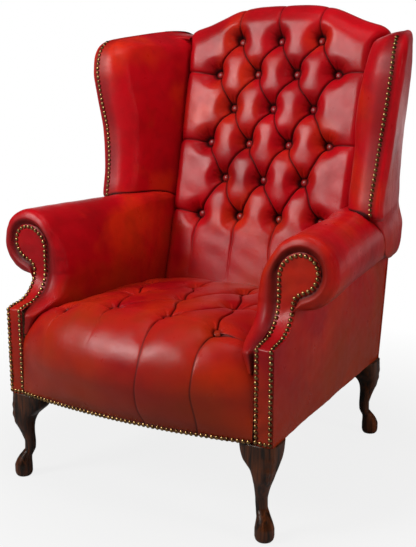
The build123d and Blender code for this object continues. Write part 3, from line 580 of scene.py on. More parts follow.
# The seat: tufted top, round shoulder and a full front down to the nails.
# SEAT_ROWS is how far out and how far back each button is.
SEAT_ROWS = (
    ((-0.192, 0.038), (-0.068, 0.050), (0.068, 0.050), (0.192, 0.038)),
    ((-0.137, 0.222), (0.0, 0.222), (0.137, 0.222)),
    ((-0.200, 0.390), (-0.068, 0.390), (0.068, 0.390), (0.200, 0.390)),
)
SEAT_HALF_PLACES = (0.0, 0.020, 0.060, 0.110, 0.300, 0.510, 0.600)
SEAT_HALF = (0.2955, 0.2940, 0.2800, 0.2640, 0.2580, 0.2580, 0.2580)
SEAT_BOW = 0.030
SEAT_SWELL = 0.070
SEAT_BELLY_Z = 0.306
SEAT_CROWN = 0.437
SEAT_CROWN_PLACE = 0.060
SEAT_FRONT_FALL = 0.056
SEAT_REAR_FALL = 0.016
SEAT_END = 0.535
SEAT_PLEAT_WIDEST = 0.125
SEAT_BUTTONING = (0.050, 0.012, 0.008)  # reach of a pleat, its depth, a button's own depth
SEAT_EDGE_FALL = 0.012
SEAT_MARK = 0.12  # place from which the map is measured
FRONT_PLEAT_LEAN = 0.008  # how far a pleat over the front edge leans to the left
NAIL_ROW = 0.0065  # height of the lowest nails over the body's lower edge


def seat_profile(share, count):
    """Side view of the seat at a share of its half width, and the map coordinate."""
    bottom = -SEAT_BOW * (1 - share**2)
    swell = bottom - (SEAT_SWELL - SEAT_BOW) * (1 - abs(share) ** 3.2)
    edge = share**4
    front = SEAT_CROWN - SEAT_FRONT_FALL * edge
    rear_fall = SEAT_REAR_FALL * edge
    middle_fall = (SEAT_FRONT_FALL + SEAT_REAR_FALL) / 2 * edge
    turns = np.linspace(0, math.pi / 2, 7)[1:]
    brow_y = SEAT_CROWN_PLACE - (SEAT_CROWN_PLACE - swell) * np.cos(turns)
    brow_z = SEAT_BELLY_Z + (front - SEAT_BELLY_Z) * np.sin(turns)
    points = [
        (bottom + 0.003, BODY_BOTTOM),
        (bottom - 0.004, BODY_BOTTOM + 0.012),
        (bottom + (swell - bottom) * 0.40 - 0.003, BODY_BOTTOM + 0.036),
        (bottom + (swell - bottom) * 0.78, BODY_BOTTOM + 0.068),
        (swell, SEAT_BELLY_Z),
        *zip(brow_y, brow_z),
        (0.20, 0.429 - middle_fall),
        (0.38, 0.413 - rear_fall),
        (SEAT_END - 0.035, 0.398 - rear_fall),
        (SEAT_END, 0.352),
    ]
    line = even_curve(points, count)
    length = length_along(line)
    return line, length - np.interp(SEAT_MARK, line[:, 0], length) + SEAT_MARK


def seat_pleats():
    pleats = lattice(SEAT_ROWS, SEAT_PLEAT_WIDEST)
    # pleats over the front: those on the right half open towards the right, with a deeper line that is
    # painted with shade
    for x, s in SEAT_ROWS[0]:
        line = 0.85 if x > 0 else 0.10
        brow, foot = (x - FRONT_PLEAT_LEAN, -0.03), (x - 2 * FRONT_PLEAT_LEAN, -0.30)
        pleats += [((x, s), brow, 1.0, line), (brow, foot, line, line * 0.9)]
    for row in (SEAT_ROWS[0], SEAT_ROWS[2]):
        pleats += [((x, s), (x * 1.7, s + 0.03), 0.9, 0.3) for x, s in (row[0], row[-1])]
    pleats += [((x, s), (x, s + 0.2), 0.95, 0.4) for x, s in SEAT_ROWS[2]]
    pleats += [((x, s), (math.copysign(0.31, x), s), 0.9, 0.3) for x, s in SEAT_ROWS[1][::2]]
    return pleats


def build_seat():
    rows, columns = ((500, 360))
    shares = np.linspace(-1, 1, columns)
    grid = np.zeros((rows, columns, 3))
    q = np.zeros((rows, columns))
    for j, share in enumerate(shares):
        line, q[:, j] = seat_profile(share, rows)
        half = smooth_line(SEAT_HALF_PLACES, SEAT_HALF, line[:, 0])
        grid[:, j] = np.stack([share * half, FRONT + line[:, 0], line[:, 1]], 1)
    flat = np.stack([grid[..., 0], q], -1)
    buttons = [button for row in SEAT_ROWS for button in row]
    pull, pleat_shade = buttoned(*wandering(flat, 0.004, 0.07, 13), seat_pleats(), buttons, *SEAT_BUTTONING)
    on_top = ease((q + 0.10) / 0.14)
    edge = edge_share(shares)
    behind = ease((grid[..., 1] - FRONT) / 0.05)
    pull = pull * (0.16 + 0.84 * on_top) + SEAT_EDGE_FALL * edge_fall(edge) * behind
    pull = pull + 0.0005 * waves(flat, 0.04, 15)
    normal = normals_of(grid)
    normal *= np.sign(normal[int(rows * 0.6), columns // 2, 2])
    shaped = grid - normal * pull[..., None]
    places, directions = seated(flat, shaped, normal, buttons, 0.002)
    # painted shade in the pleats and hollows, and at the side edges where the seat goes in under the arms
    dark = np.clip(0.9 * pleat_shade + 9.0 * np.clip(pull - 0.010, 0, 0.04) * on_top, 0, 1)
    dark = np.maximum(dark, 0.7 * ease((edge - 0.75) / 0.25) * behind)
    piece = grid_piece("seat_leather", shaped, dark)
    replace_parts(piece, "seat_cover")
    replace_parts(button_piece("seat_button_tops", places, directions), "seat_buttons")
    share = np.linspace(-0.975, 0.975, 200)
    front = FRONT - SEAT_BOW * (1 - share**2) - 0.0050
    lower = np.stack([share * SEAT_HALF[0], front, np.full(200, BODY_BOTTOM + NAIL_ROW)], 1)
    nail_piece("seat_nails", *nails_along(lower, [(0, -1, 0)] * len(lower)))


# The arms: a padded roll that narrows to the rear, over a flat inner side. At each of the
# places: half widths of the inner side, and of the inner and outer side of the roll.
ARM_PLACES = (0.0, 0.088, 0.300, 0.510, 0.725, 0.81)
ARM_INNER = (0.2465, 0.2465, 0.248, 0.2505, 0.2505, 0.2505)
ARM_ROLL_INNER = (0.276, 0.276, 0.256, 0.2505, 0.2505, 0.2505)
ARM_ROLL_OUTER = (0.425, 0.427, 0.399, 0.366, 0.333, 0.322)
STRIP_INNER = 0.295
ROLL_TALL = ARM_TOP - ARM_ROLL_Z
# Edge of an arm front, from its foot up the outside to the top of the scroll and down the
# inside: half width and height.
NECK_Z = 0.462
FACING_OUTER = (
    (0.339, 0.204), (0.339, 0.400), (0.3385, NECK_Z), (0.3395, 0.477), (0.343, 0.4865), (0.351, 0.492),
    (0.362, 0.4965), (0.374, 0.504), (0.3835, 0.515), (0.3895, 0.528), (0.391, 0.541), (0.389, 0.555),
    (0.382, 0.568), (0.371, 0.577), (0.358, 0.5815), (0.345, 0.582),
)
FACING_INNER = (
    (0.345, 0.582), (0.332, 0.579), (0.319, 0.572), (0.308, 0.562), (0.301, 0.552), (0.2965, 0.540),
    (0.295, 0.526), (0.295, 0.480), (0.295, 0.204),
)
NAIL_INSET = 0.0062
COVE_START = 0.403
COVE_TOP = 0.484
COVE_RADIUS = 0.075
COVE_DEPTH = 0.096
ARM_LOW = 0.350
ARM_COLUMNS = (84, 46, 71)
NAIL_LIFT = 0.0012
FOOT_NAIL_Z = 0.210
FACING_CROWN = 0.0025
ARM_CUFF = 0.024  # radius of the round front edge of an arm
ARM_REAR = 0.760
INNER_CORNER_Z = 0.522
OUTER_ARM_PUFF = 0.0035


def body_side(place):
    """Half width of the body below the arms."""
    return 0.339 - 0.0476 * place


def outer_back_y(z):
    """Place of the outer back at a height."""
    share = (z - BODY_BOTTOM) / (1.0 - BODY_BOTTOM)
    return 0.672 + 0.133 * share + 0.010 * np.sin(math.pi * np.clip(share, 0, 1))


def facing_depth(z):
    """How far the arm front lies behind its lower plane at a height."""
    z = np.asarray(z, float)
    turn = np.clip((COVE_TOP - z) / COVE_RADIUS, 0, 1)
    cove = COVE_DEPTH - COVE_RADIUS * (1 - np.sqrt(1 - turn**2))
    lead = (z - COVE_START) / (COVE_TOP - COVE_RADIUS - COVE_START)
    return np.where(z < COVE_TOP - COVE_RADIUS, (COVE_DEPTH - COVE_RADIUS) * np.clip(lead, 0, 1), cove)


def joined(lines):
    """One line through lines that meet, with the arm's own number of points on each."""
    parts = [even_steps(np.asarray(line), count) for line, count in zip(lines, ARM_COLUMNS)]
    return np.vstack([parts[0]] + [part[1:] for part in parts[1:]])


def roll_span(place):
    """Middle and half width of an arm roll."""
    low = smooth_line(ARM_PLACES, ARM_ROLL_INNER, place)
    high = smooth_line(ARM_PLACES, ARM_ROLL_OUTER, place)
    return (low + high) / 2, (high - low) / 2


def roll_power(place):
    """How square the inner top corner of an arm is: round in front, squarer under the wing."""
    return 2 + 2.2 * ease((np.asarray(place) - 0.36) / 0.12)


def arm_outline(place):
    """Section of an arm from under its roll, over the top and down the inner side."""
    inner = smooth_line(ARM_PLACES, ARM_INNER, place)
    middle, across = roll_span(place)
    turns = np.radians(np.linspace(-96, 90, 60))
    roll = np.stack([middle + across * np.cos(turns), ARM_ROLL_Z + ROLL_TALL * np.sin(turns)], 1)
    neck = (min(body_side(place), roll[0, 0]) - 0.004, ARM_ROLL_Z - ROLL_TALL - 0.006)
    turns = np.radians(np.linspace(90, 150, 24))
    power = 2 / roll_power(place)
    over_x = middle - across * (-np.cos(turns)).clip(0) ** power
    over = np.stack([over_x, ARM_ROLL_Z + ROLL_TALL * np.sin(turns) ** power], 1)
    # the inner side leans in under the roll in front, and ends in a foot that flares out there
    lean = max(over[-1, 0] - inner, 0) / 0.0395
    down = ((0.026, 0.562), (0.014, 0.543), (0.005, INNER_CORNER_Z), (0.000, 0.497), (-0.001, 0.465),
            (0.001, 0.440))
    flare = 1 - ease(place / 0.16)
    foot = ((0.008, 0.412), (0.020, 0.386), (0.034, ARM_LOW))
    down = [(inner + lean * x, z) for x, z in down]
    foot = [(inner + flare * x, z) for x, z in foot]
    side = even_curve([over[-1], *down, *foot], 120)
    corner = int(np.argmin(np.abs(side[:, 1] - INNER_CORNER_Z)))
    return joined([np.vstack([neck, roll]), np.vstack([over, side[1:corner + 1]]), side[corner:]])


def facing_outline():
    """Edge of an arm front in front view: from its neck round the scroll and down inside."""
    outer = even_curve([point for point in FACING_OUTER if point[1] >= NECK_Z], 200)
    inner = even_curve(FACING_INNER[:7], 120)
    return joined([outer, inner, [FACING_INNER[6], (STRIP_INNER, ARM_LOW)]])


def build_arm(sign, name):
    rows, cap = 150, 26
    edge = facing_outline()
    columns = len(edge)
    # where the round front edge of each column starts, and its radius
    spread = np.linspace(-0.012, 0.012, 7)[:, None]
    start_depth = facing_depth(edge[:, 1] + spread).mean(axis=0)
    inside = ease((np.arange(columns) / columns - 0.50) / 0.20)
    low_end = 1 - ease((edge[:, 1] - 0.372) / 0.06)
    round_off = ARM_CUFF + inside * (0.014 - 0.026 * low_end)
    body_start = start_depth - (0.008 - 0.006 * low_end * inside) + round_off
    # sections at many places, read at each column's own place
    stations = np.linspace(0, ARM_REAR, 60)
    sections = np.stack([arm_outline(place) for place in stations])
    shares = np.linspace(0, 1, rows) ** 1.15
    grid = np.zeros((rows, columns, 3))
    for j in range(columns):
        end = outer_back_y(sections[-1, j, 1]) - 0.003
        y = body_start[j] + shares * (end - body_start[j])
        x, z = (np.interp(y, stations, sections[:, j, k]) for k in (0, 1))
        grid[:, j] = np.stack([x, FRONT + y, z], 1)
    # the round front edge, gathered in pleats that turn in to the arm front
    length = length_along(edge)
    along = np.stack([length, 0 * length], -1)
    gather = 0.5 * waves(along, 0.011, 71) + waves(along, 0.022, 72)
    upper = ease((edge[:, 1] - 0.455) / 0.03)
    t = 1 - np.arange(cap)[:, None] / cap
    turned = (1 - np.cos(t * math.pi / 2)) ** 1.05
    x, z = (grid[0, :, k] + (edge[:, m] - grid[0, :, k]) * turned for k, m in ((0, 0), (2, 1)))
    sink = 0.010 * ease((t - 0.72) / 0.28)
    wrinkle = 0.0007 * gather * upper * np.sin(math.pi * np.minimum(t * 1.15, 1)) ** 1.5
    y = body_start - round_off * np.sin(t * math.pi / 2) ** 0.8 + sink + wrinkle
    whole = np.vstack([np.stack([x, FRONT + y, z], -1), grid])
    normal = normals_of(whole)
    normal *= np.sign(normal[rows // 2, columns // 2, 2])
    flat = np.stack([whole[..., 1], np.broadcast_to(length, whole.shape[:2])], -1)
    behind = np.clip(whole[..., 1] - FRONT - start_depth, 0, None)
    puff = np.sin(math.pi * np.clip((whole[..., 2] - 0.36) / 0.19, 0, 1)) ** 1.5 * inside
    pull = 0.0006 * waves(flat, 0.08, 21) + 0.0002 * waves(flat, 0.03, 22)
    pull = pull + 0.0006 * gather * upper * np.exp(-behind / 0.030) * (behind > 0)
    pull = pull - 0.003 * puff * ease(behind / 0.05)
    # painted shade where the round front edge turns in to the arm front
    dark = np.zeros(whole.shape[:2])
    dark[:cap] = 0.75 * np.linspace(1, 0, cap)[:, None] ** 2
    return grid_piece(name, whole - normal * pull[..., None], dark, sign)


def build_facing(sign, name):
    """The leather strip up the arm front, with its scroll, as one lightly crowned sheet."""
    rows, columns = 130, 30
    outer, inner = even_curve(FACING_OUTER, 400), even_curve(FACING_INNER, 400)[::-1]
    z = np.linspace(BODY_BOTTOM, FACING_INNER[0][1] - 0.0004, rows)[:, None]
    low, high = (np.interp(z, line[:, 1], line[:, 0]) for line in (inner, outer))
    share = np.linspace(0, 1, columns)
    x = low + (high - low) * share
    z = np.broadcast_to(z, x.shape)
    edge = np.minimum(np.minimum(share, 1 - share) * (high - low), z[-1, 0] - z + 0.001)
    crown = FACING_CROWN * (1 - np.exp(-edge / 0.006))
    y = FRONT + facing_depth(z) + 0.0015 - crown + 0.0005 * waves(np.stack([x, z], -1), 0.02, 31)
    # painted shade along the strip's edges, where it sinks in beside the roll
    return grid_piece(name, np.stack([x, y, z], -1), 0.5 * np.exp(-edge / 0.003), sign)


def facing_nails(sign, name):
    """Two rows up each arm front that join round its scroll, and a row along its foot."""
    edge = even_curve(FACING_OUTER + FACING_INNER[1:], 500)
    way = unit(np.gradient(edge, axis=0))
    line = edge + NAIL_INSET * np.stack([-way[:, 1], way[:, 0]], 1)
    line = line[line[:, 1] >= FOOT_NAIL_Z]
    rise = (facing_depth(line[:, 1] + 0.001) - facing_depth(line[:, 1] - 0.001)) / 0.002
    directions = unit(np.stack([0 * rise, 0 * rise - 1, np.clip(rise, 0, 4)], 1))
    spots = np.stack([line[:, 0], FRONT + facing_depth(line[:, 1]), line[:, 1]], 1)
    places, normals = nails_along(spots + NAIL_LIFT * directions, directions)
    foot = np.linspace(line[-1, 0], line[0, 0], 4)[1:-1]
    places = np.vstack([places, [(x, FRONT - NAIL_LIFT, FOOT_NAIL_Z) for x in foot]])
    normals = np.vstack([normals, [(0, -1, 0)] * len(foot)])
    nail_piece(name, places, normals, sign)


def build_outer_arm(sign, name):
    columns, rows = 110, 50
    share = np.linspace(0, 1, columns)
    z = np.linspace(BODY_BOTTOM, ARM_ROLL_Z - 0.070, rows)[:, None]
    up = (z - z[0]) / (z[-1] - z[0])
    start = facing_depth(z) + 0.001
    y = start + (outer_back_y(z) - 0.002 - start) * share
    puff = OUTER_ARM_PUFF * np.sin(math.pi * up).clip(0) ** 0.7 * np.sin(math.pi * share).clip(0) ** 0.5
    x = body_side(y) + puff - 0.0015
    grid = np.stack([x, FRONT + y, np.broadcast_to(z, x.shape)], -1)
    flat = grid[..., 1:]
    grid[..., 0] += 0.0009 * waves(flat, 0.08, 41) + 0.0004 * waves(flat, 0.02, 42)
    # painted shade where it goes in under the roll
    return grid_piece(name, grid, np.broadcast_to(0.8 * np.exp((up - 1) / 0.05), x.shape), sign)


# The wings: each is a padded board. Its leather is nailed along the edge, in side view
# up the front and over the top corner, and from there runs over both sides to the back.
# Below the nails the outer leather lies on the rear of the arm roll, down to a seam.
# Along the edge: place and height, how far out it is, height where the inner side meets the
# back, and height where the outer side meets the outer back.
WING_EDGE_LINE = (
    (0.446, 0.578, 0.350, 0.572, 0.568), (0.4375, 0.5955, 0.357, 0.588, 0.576),
    (0.4275, 0.603, 0.362, 0.598, 0.582), (0.4235, 0.613, 0.3635, 0.608, 0.588),
    (0.426, 0.635, 0.362, 0.632, 0.602), (0.434, 0.668, 0.363, 0.662, 0.626),
    (0.443, 0.723, 0.367, 0.712, 0.666), (0.447, 0.785, 0.374, 0.768, 0.712),
    (0.442, 0.851, 0.385, 0.828, 0.762), (0.439, 0.909, 0.393, 0.878, 0.806),
    (0.441, 0.936, 0.395, 0.902, 0.828), (0.447, 0.963, 0.395, 0.924, 0.848),
    (0.457, 0.982, 0.394, 0.940, 0.862), (0.471, 0.996, 0.392, 0.952, 0.873),
    (0.490, 1.006, 0.388, 0.962, 0.884), (0.520, 1.012, 0.380, 0.972, 0.894),
    (0.570, 1.0165, 0.368, 0.982, 0.905), (0.640, 1.020, 0.352, 0.994, 0.918),
    (0.700, 1.023, 0.337, 1.003, 0.930), (0.735, 1.024, 0.328, 1.007, 0.938),
    (0.765, 1.022, 0.321, 1.006, 0.944), (0.788, 1.013, 0.314, 0.998, 0.950),
    (0.801, 0.996, 0.308, 0.983, 0.954), (0.804, 0.975, 0.303, 0.967, 0.956),
    (0.803, 0.958, 0.298, 0.955, 0.957),
)
# Along the seam: place and height, and height where the outer side meets the outer back.
WING_SEAM = (
    (0.700, 0.4645, 0.4645), (0.640, 0.472, 0.473), (0.600, 0.483, 0.484), (0.577, 0.493, 0.493),
    (0.546, 0.514, 0.508), (0.525, 0.537, 0.522), (0.504, 0.556, 0.534), (0.470, 0.576, 0.549),
    (0.444, 0.592, 0.562),
)
# Height and place of the front edge, as it is between its foot and the top corner
WING_FRONT = ((0.575, 0.423), *((z, place) for place, z, *_ in WING_EDGE_LINE[4:12]), (1.000, 0.452))
LEFT_WING_RISE = 0.011  # how much more the left wing's top rises to the rear
WING_ROOT_DEPTH = 0.055  # how far the inner side goes on behind the face of the back
# Half widths by height: of the inner side's front, and of the outer side's front and rear
WING_INNER_HEIGHTS = (0.560, 0.620, 0.700, 0.800, 0.890, 0.960, 1.040)
WING_INNER = (0.306, 0.307, 0.307, 0.308, 0.320, 0.333, 0.343)
WING_OUTER_HEIGHTS = (0.560, 0.668, 0.785, 0.909, 0.970)
WING_OUTER = (0.386, 0.387, 0.398, 0.417, 0.420)
WING_REAR_HEIGHTS = (0.540, 0.597, 0.635, 0.684, 0.769, 0.837, 0.942, 1.010)
WING_REAR_HALF = (0.3280, 0.3190, 0.3158, 0.3137, 0.3142, 0.3175, 0.3203, 0.3175)
WING_NOSE = 0.040  # width of the round edge inside, outside and at the seam
WING_OUTER_NOSE = 0.024
SEAM_NOSE = 0.004
WING_STEPS = 1.7  # above 1, points lie closer together near the edge
WING_TURN_PLACE = 0.60  # from here on the top edge isn't nailed
NAILS_FROM_Z = 0.612
NAILS_TO_PLACE = 0.480


def nose(gap, reach):
    """Round of an edge: 1 at the edge itself and 0 from a given distance inwards."""
    return 1 - bulge(np.clip(1 - gap / reach, 0, 1), 2.2)


def wing_side(rows, count, ends, x_at, reach):
    """One side of a wing: rows from its edge to a given end, rounded at the edge."""
    shares = np.linspace(0, 1, count) ** WING_STEPS
    span = ends - rows[:, :2]
    y, z = (rows[:, k, None] + span[:, k, None] * shares for k in (0, 1))
    length = np.linalg.norm(span, axis=1)[:, None] + 1e-6
    edge_way = unit(np.gradient(rows[:, :2], axis=0))
    run = span / length
    slant = np.abs(run[:, 0] * edge_way[:, 1] - run[:, 1] * edge_way[:, 0])[:, None]
    gap = shares * length * np.clip(slant, 0.35, 1)
    face = x_at(y, z, shares)
    x = face + (rows[:, 2:3] - face) * nose(gap, reach)
    return np.stack([x, FRONT + y, z], -1), gap


def wing_inner_x(y, z, shares):
    """Inner side of a wing, a little hollow behind its round front edge."""
    root = back_half_width(z) + 0.0005
    front = smooth_line(WING_INNER_HEIGHTS, WING_INNER, z)
    face = root + (front - root) * (0.35 * (1 - shares) + 0.65 * ease(1 - 1.15 * shares))
    low = np.clip(1 - (z - 0.600) / 0.05, 0, 1)
    return face - 0.004 * np.exp(-(((shares - 0.24) / 0.13) ** 2)) * (1 - low)


def roll_outer_x(y, z):
    """Outer side of an arm roll, fuller below at the rear."""
    middle, half = roll_span(y)
    height = np.clip((z - ARM_ROLL_Z) / ROLL_TALL, -0.999, 0.999)
    return middle + half * bulge(height, np.where(height < 0, 2 + 1.5 * ease((y - 0.54) / 0.14), 2))


def roll_top_z(y, x):
    """Top of an arm roll at a place along and across it."""
    middle, half = roll_span(y)
    return ARM_ROLL_Z + ROLL_TALL * bulge(np.clip(np.abs(x - middle) / half, 0, 0.999), roll_power(y))


def wing_outer_x(y, z, shares):
    """Outer side of a wing: flat above, and down on the arm roll below."""
    edge = np.interp(z, WING_OUTER_HEIGHTS, WING_OUTER)
    rear = smooth_line(WING_REAR_HEIGHTS, WING_REAR_HALF, z)
    front = smooth_line(*zip(*WING_FRONT), z) + 0.022
    behind = np.clip((y - front) / (outer_back_y(z) - front), 0, 1)
    flat = edge + (rear - edge) * behind + 0.003 * np.sin(math.pi * behind)
    seam_place, seam_z = np.array(WING_SEAM)[::-1, :2].T
    over_seam = z - np.interp(y, seam_place, seam_z)
    at_front = 1 - ease((y - 0.44) / 0.06)
    on_wing = np.maximum(ease((z - 0.545) / 0.065), at_front * ease((over_seam + 0.002) / 0.020))
    return (roll_outer_x(y, z) + 0.0022) * (1 - on_wing) + flat * on_wing


def wrinkled(grid, gap, outward, seed, nailed):
    """Slightly uneven leather, drawn down along its edge where that is nailed."""
    flat = grid[..., 1:]
    lift = 0.0009 * waves(flat, 0.10, seed) + 0.00025 * waves(flat, 0.025, seed + 1)
    lift = lift * np.clip(gap / 0.02, 0, 1) - 0.0012 * np.exp(-((gap / 0.004) ** 2)) * nailed
    normal = normals_of(grid)
    normal *= np.sign(np.median(normal[..., 0])) * outward
    return grid + normal * lift[..., None]


def over_top(line):
    """1 along the top of a wing, where its edge isn't nailed, and 0 up its front."""
    return ease((line[:, :1] - WING_TURN_PLACE) / 0.12) * (line[:, 1:2] > 0.9)


def build_wing(sign, name, panel_name):
    count_rows, count_in, count_out = 200, 110, 90
    edge_line = np.array(WING_EDGE_LINE)
    if sign < 0:
        place, height = edge_line[:, :2].T
        rise = LEFT_WING_RISE * ease((place - 0.50) / 0.20) * ease((height - 0.965) / 0.04)
        edge_line[:, [1, 3]] += rise[:, None]
    # inner side, from the edge to the back or, over the top, straight down behind the edge
    rows = even_curve(edge_line, count_rows)
    meet_z = rows[:, 3:4]
    over = over_top(rows)
    root = back_face(meet_z) - FRONT + WING_ROOT_DEPTH
    root = root + (rows[:, :1] - 0.012 - root) * over
    inner, gap = wing_side(rows, count_in, np.hstack([root, meet_z]), wing_inner_x, WING_NOSE)
    shares = np.linspace(0, 1, count_in) ** WING_STEPS
    # painted shade where the inner side goes in to the back, and along the nailed edge
    painted_shade_in = (0.9 * ease((shares - 0.72) / 0.28) + 0.45 * np.exp(-((gap / 0.0035) ** 2))) * (1 - over)
    # painted shade at the foot, where the wing sits on the arm roll
    foot = inner[..., 2] - roll_top_z(inner[..., 1] - FRONT, inner[..., 0])
    painted_shade_in = np.maximum(painted_shade_in, 0.95 * np.exp(-(np.clip(foot, 0, None) / 0.0045) ** 2))
    inner = wrinkled(inner, gap, -1, 51, 1 - over)
    # outer side, from the seam on the arm roll and the edge to the outer back
    seam = np.array(WING_SEAM)
    seam_x = roll_outer_x(seam[:, 0], seam[:, 1]) + 0.0004
    low = np.column_stack([seam[:, :2], seam_x, seam[:, 2]])
    line = even_curve(np.vstack([low, edge_line[1:, [0, 1, 2, 4]]]), count_rows + 60)
    meet_z = line[:, 3:4]
    reach = SEAM_NOSE + (WING_OUTER_NOSE - SEAM_NOSE) * ease((line[:, 1:2] - 0.545) / 0.045)
    ends = np.hstack([outer_back_y(meet_z) + 0.0005, meet_z])
    outer, gap = wing_side(line, count_out, ends, wing_outer_x, reach)
    over = over_top(line)
    # painted shade along the nailed edge and the seam
    painted_shade_out = 0.55 * np.exp(-((gap / 0.003) ** 2)) * (1 - over)
    outer = wrinkled(outer, gap, 1, 57, 1 - over)
    inside = grid_piece(name, inner, painted_shade_in, sign)
    outside = grid_piece(panel_name, outer, painted_shade_out, sign, flip=True)
    first = np.argmax(rows[:, 1] > NAILS_FROM_Z)
    last = np.argmax((rows[:, 0] > NAILS_TO_PLACE) & (rows[:, 1] > 0.9))
    way = unit(np.gradient(rows[:, :2], axis=0)[first:last])
    outward = unit(np.stack([np.full(len(way), 0.10), -way[:, 1], way[:, 0]], 1))
    places, normals = nails_along(inner[first:last, 0] + NAIL_LIFT / 2 * outward, outward)
    nail_piece(name + "_nails", places, normals, sign)
    return inside, outside


# The upright in each wing, which leans out as it rises: height, place and half width of its
# front outer edge
POST = (
    (0.585, 0.452, 0.350), (0.640, 0.452, 0.358), (0.700, 0.461, 0.367), (0.800, 0.468, 0.378),
    (0.900, 0.460, 0.393), (0.955, 0.463, 0.396),
)
POST_DEPTH = 0.028
POST_THICKNESS = 0.020
POST_ROUND = 0.003


def build_post(sign, name):
    height, front, outer = np.array(POST).T
    heights = np.linspace(height[0], height[-1], 40)
    front, outer = FRONT + smooth_line(height, front, heights), smooth_line(height, outer, heights)
    corners = []
    for turn, (across, back) in enumerate(((0, 0), (-1, 0), (-1, 1), (0, 1))):
        for angle in -math.pi / 2 * turn - np.linspace(0, math.pi / 2, 4):
            x = outer + across * POST_THICKNESS + POST_ROUND * (math.cos(angle) - 1 - 2 * across)
            y = front + back * POST_DEPTH + POST_ROUND * (math.sin(angle) + 1 - 2 * back)
            corners.append(np.stack([x, y, heights], 1))
    return tube_piece(name, np.stack(corners, 1) * (sign, 1, 1), sign > 0, "frame_timber")


# The legs: cabriole, with a pad foot and a carved knee. LEG is the front leg's outline by
# height: its inner and outer side, and how far its front and rear are behind the arm fronts.
LEG_X = 0.318
LEG_Y = 0.009
LEG_FRONT = (LEG_X, FRONT + LEG_Y)
LEG_REAR = (0.292, FRONT + 0.665)
LEG = (
    (0.000, 0.302, 0.334, -0.007, 0.025), (0.004, 0.299, 0.337, -0.010, 0.028),
    (0.012, 0.2975, 0.3385, -0.0115, 0.0295), (0.024, 0.2975, 0.3385, -0.0115, 0.0295),
    (0.036, 0.2985, 0.335, -0.008, 0.0285), (0.046, 0.299, 0.330, -0.003, 0.028),
    (0.056, 0.296, 0.3235, 0.003, 0.0305), (0.066, 0.293, 0.318, 0.008, 0.033),
    (0.082, 0.292, 0.3175, 0.008, 0.0335), (0.098, 0.292, 0.321, 0.004, 0.033),
    (0.114, 0.292, 0.326, -0.001, 0.0335), (0.130, 0.291, 0.332, -0.006, 0.036),
    (0.140, 0.289, 0.3345, -0.0075, 0.0395), (0.150, 0.285, 0.337, -0.008, 0.045),
    (0.160, 0.2755, 0.3385, -0.0075, 0.053), (0.170, 0.266, 0.340, -0.007, 0.061),
    (0.186, 0.2595, 0.341, -0.006, 0.0675), (0.204, 0.256, 0.341, -0.005, 0.072),
)
# How round a leg is, by height
LEG_ROUND = ((0, 1.0), (0.10, 0.95), (0.13, 0.72), (0.15, 0.5), (0.17, 0.36), (0.204, 0.26))
LEAF_LOW, LEAF_HIGH = 0.112, 0.196
LEAF_HALF_ANGLE = 0.95
LEAF_VEIN_DEPTH = 0.0011
LEAF_LOBE_DEPTH = 0.0007
LEAF_LOBE_PITCH = 0.021


def build_leg(name, place, turn_x, turn_y):
    rows, columns = 130, 72
    z = np.linspace(0, BODY_BOTTOM, rows)[:, None]
    turns = np.linspace(0, 2 * math.pi, columns, endpoint=False)
    table = np.array(LEG)
    low_x, high_x, low_y, high_y = smooth_line(table[:, 0], table[:, 1:], z[:, 0]).T[..., None]
    power = 1 / (1 + 1.2 * (1 - smooth_line(*zip(*LEG_ROUND), z)))

    def across(low, high, wave):
        return (low + high) / 2 + (high - low) / 2 * np.sign(wave) * np.abs(wave) ** power

    x = across(low_x, high_x, np.cos(turns)) - LEG_X
    y = across(low_y, high_y, np.sin(turns)) - LEG_Y
    grid = np.stack([x, y, np.broadcast_to(z, x.shape)], -1)
    # the carved leaf on the knee, round the outer corner
    away = (turns + math.pi / 4 + math.pi) % (2 * math.pi) - math.pi
    on_leaf = ease((z - LEAF_LOW) / 0.03) * ease((LEAF_HIGH - z) / 0.02)
    on_leaf = on_leaf * ease(1 - np.abs(away) / LEAF_HALF_ANGLE)
    veins = np.cos(away * 13 + (z - 0.15) * 60 * np.sign(away))
    lobes = np.cos((z - 0.11) * 2 * math.pi / LEAF_LOBE_PITCH)
    carved = on_leaf * (LEAF_VEIN_DEPTH * veins + LEAF_LOBE_DEPTH * lobes)
    out = grid - grid.mean(axis=1, keepdims=True)
    out[..., 2] = 0
    grid = grid + unit(out) * carved[..., None]
    grid = (grid * (1, turn_y, 1) + (*place, 0)) * (turn_x, 1, 1)
    return tube_piece(name, grid, turn_x * turn_y < 0, "dark_mahogany")


LINING_INSET = 0.003


def build_lining():
    """Black cloth stretched over the underside, inside the legs."""
    low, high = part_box("bottom_lining")
    ends = [(low[k] + LINING_INSET, high[k] - LINING_INSET) for k in (0, 1)]
    flat = np.stack(np.meshgrid(*(np.linspace(*end, 40) for end in ends)), -1)
    x = flat[..., 0] * (body_side(flat[..., 1] - FRONT) - 0.021) / high[0]
    z = low[2] - 0.0002 + 0.0006 * waves(flat, 0.12, 61)
    full = np.stack([x, flat[..., 1], z], -1)
    piece = grid_piece("lining_cloth", full, slot="black_lining")
    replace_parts(piece, "bottom_lining")


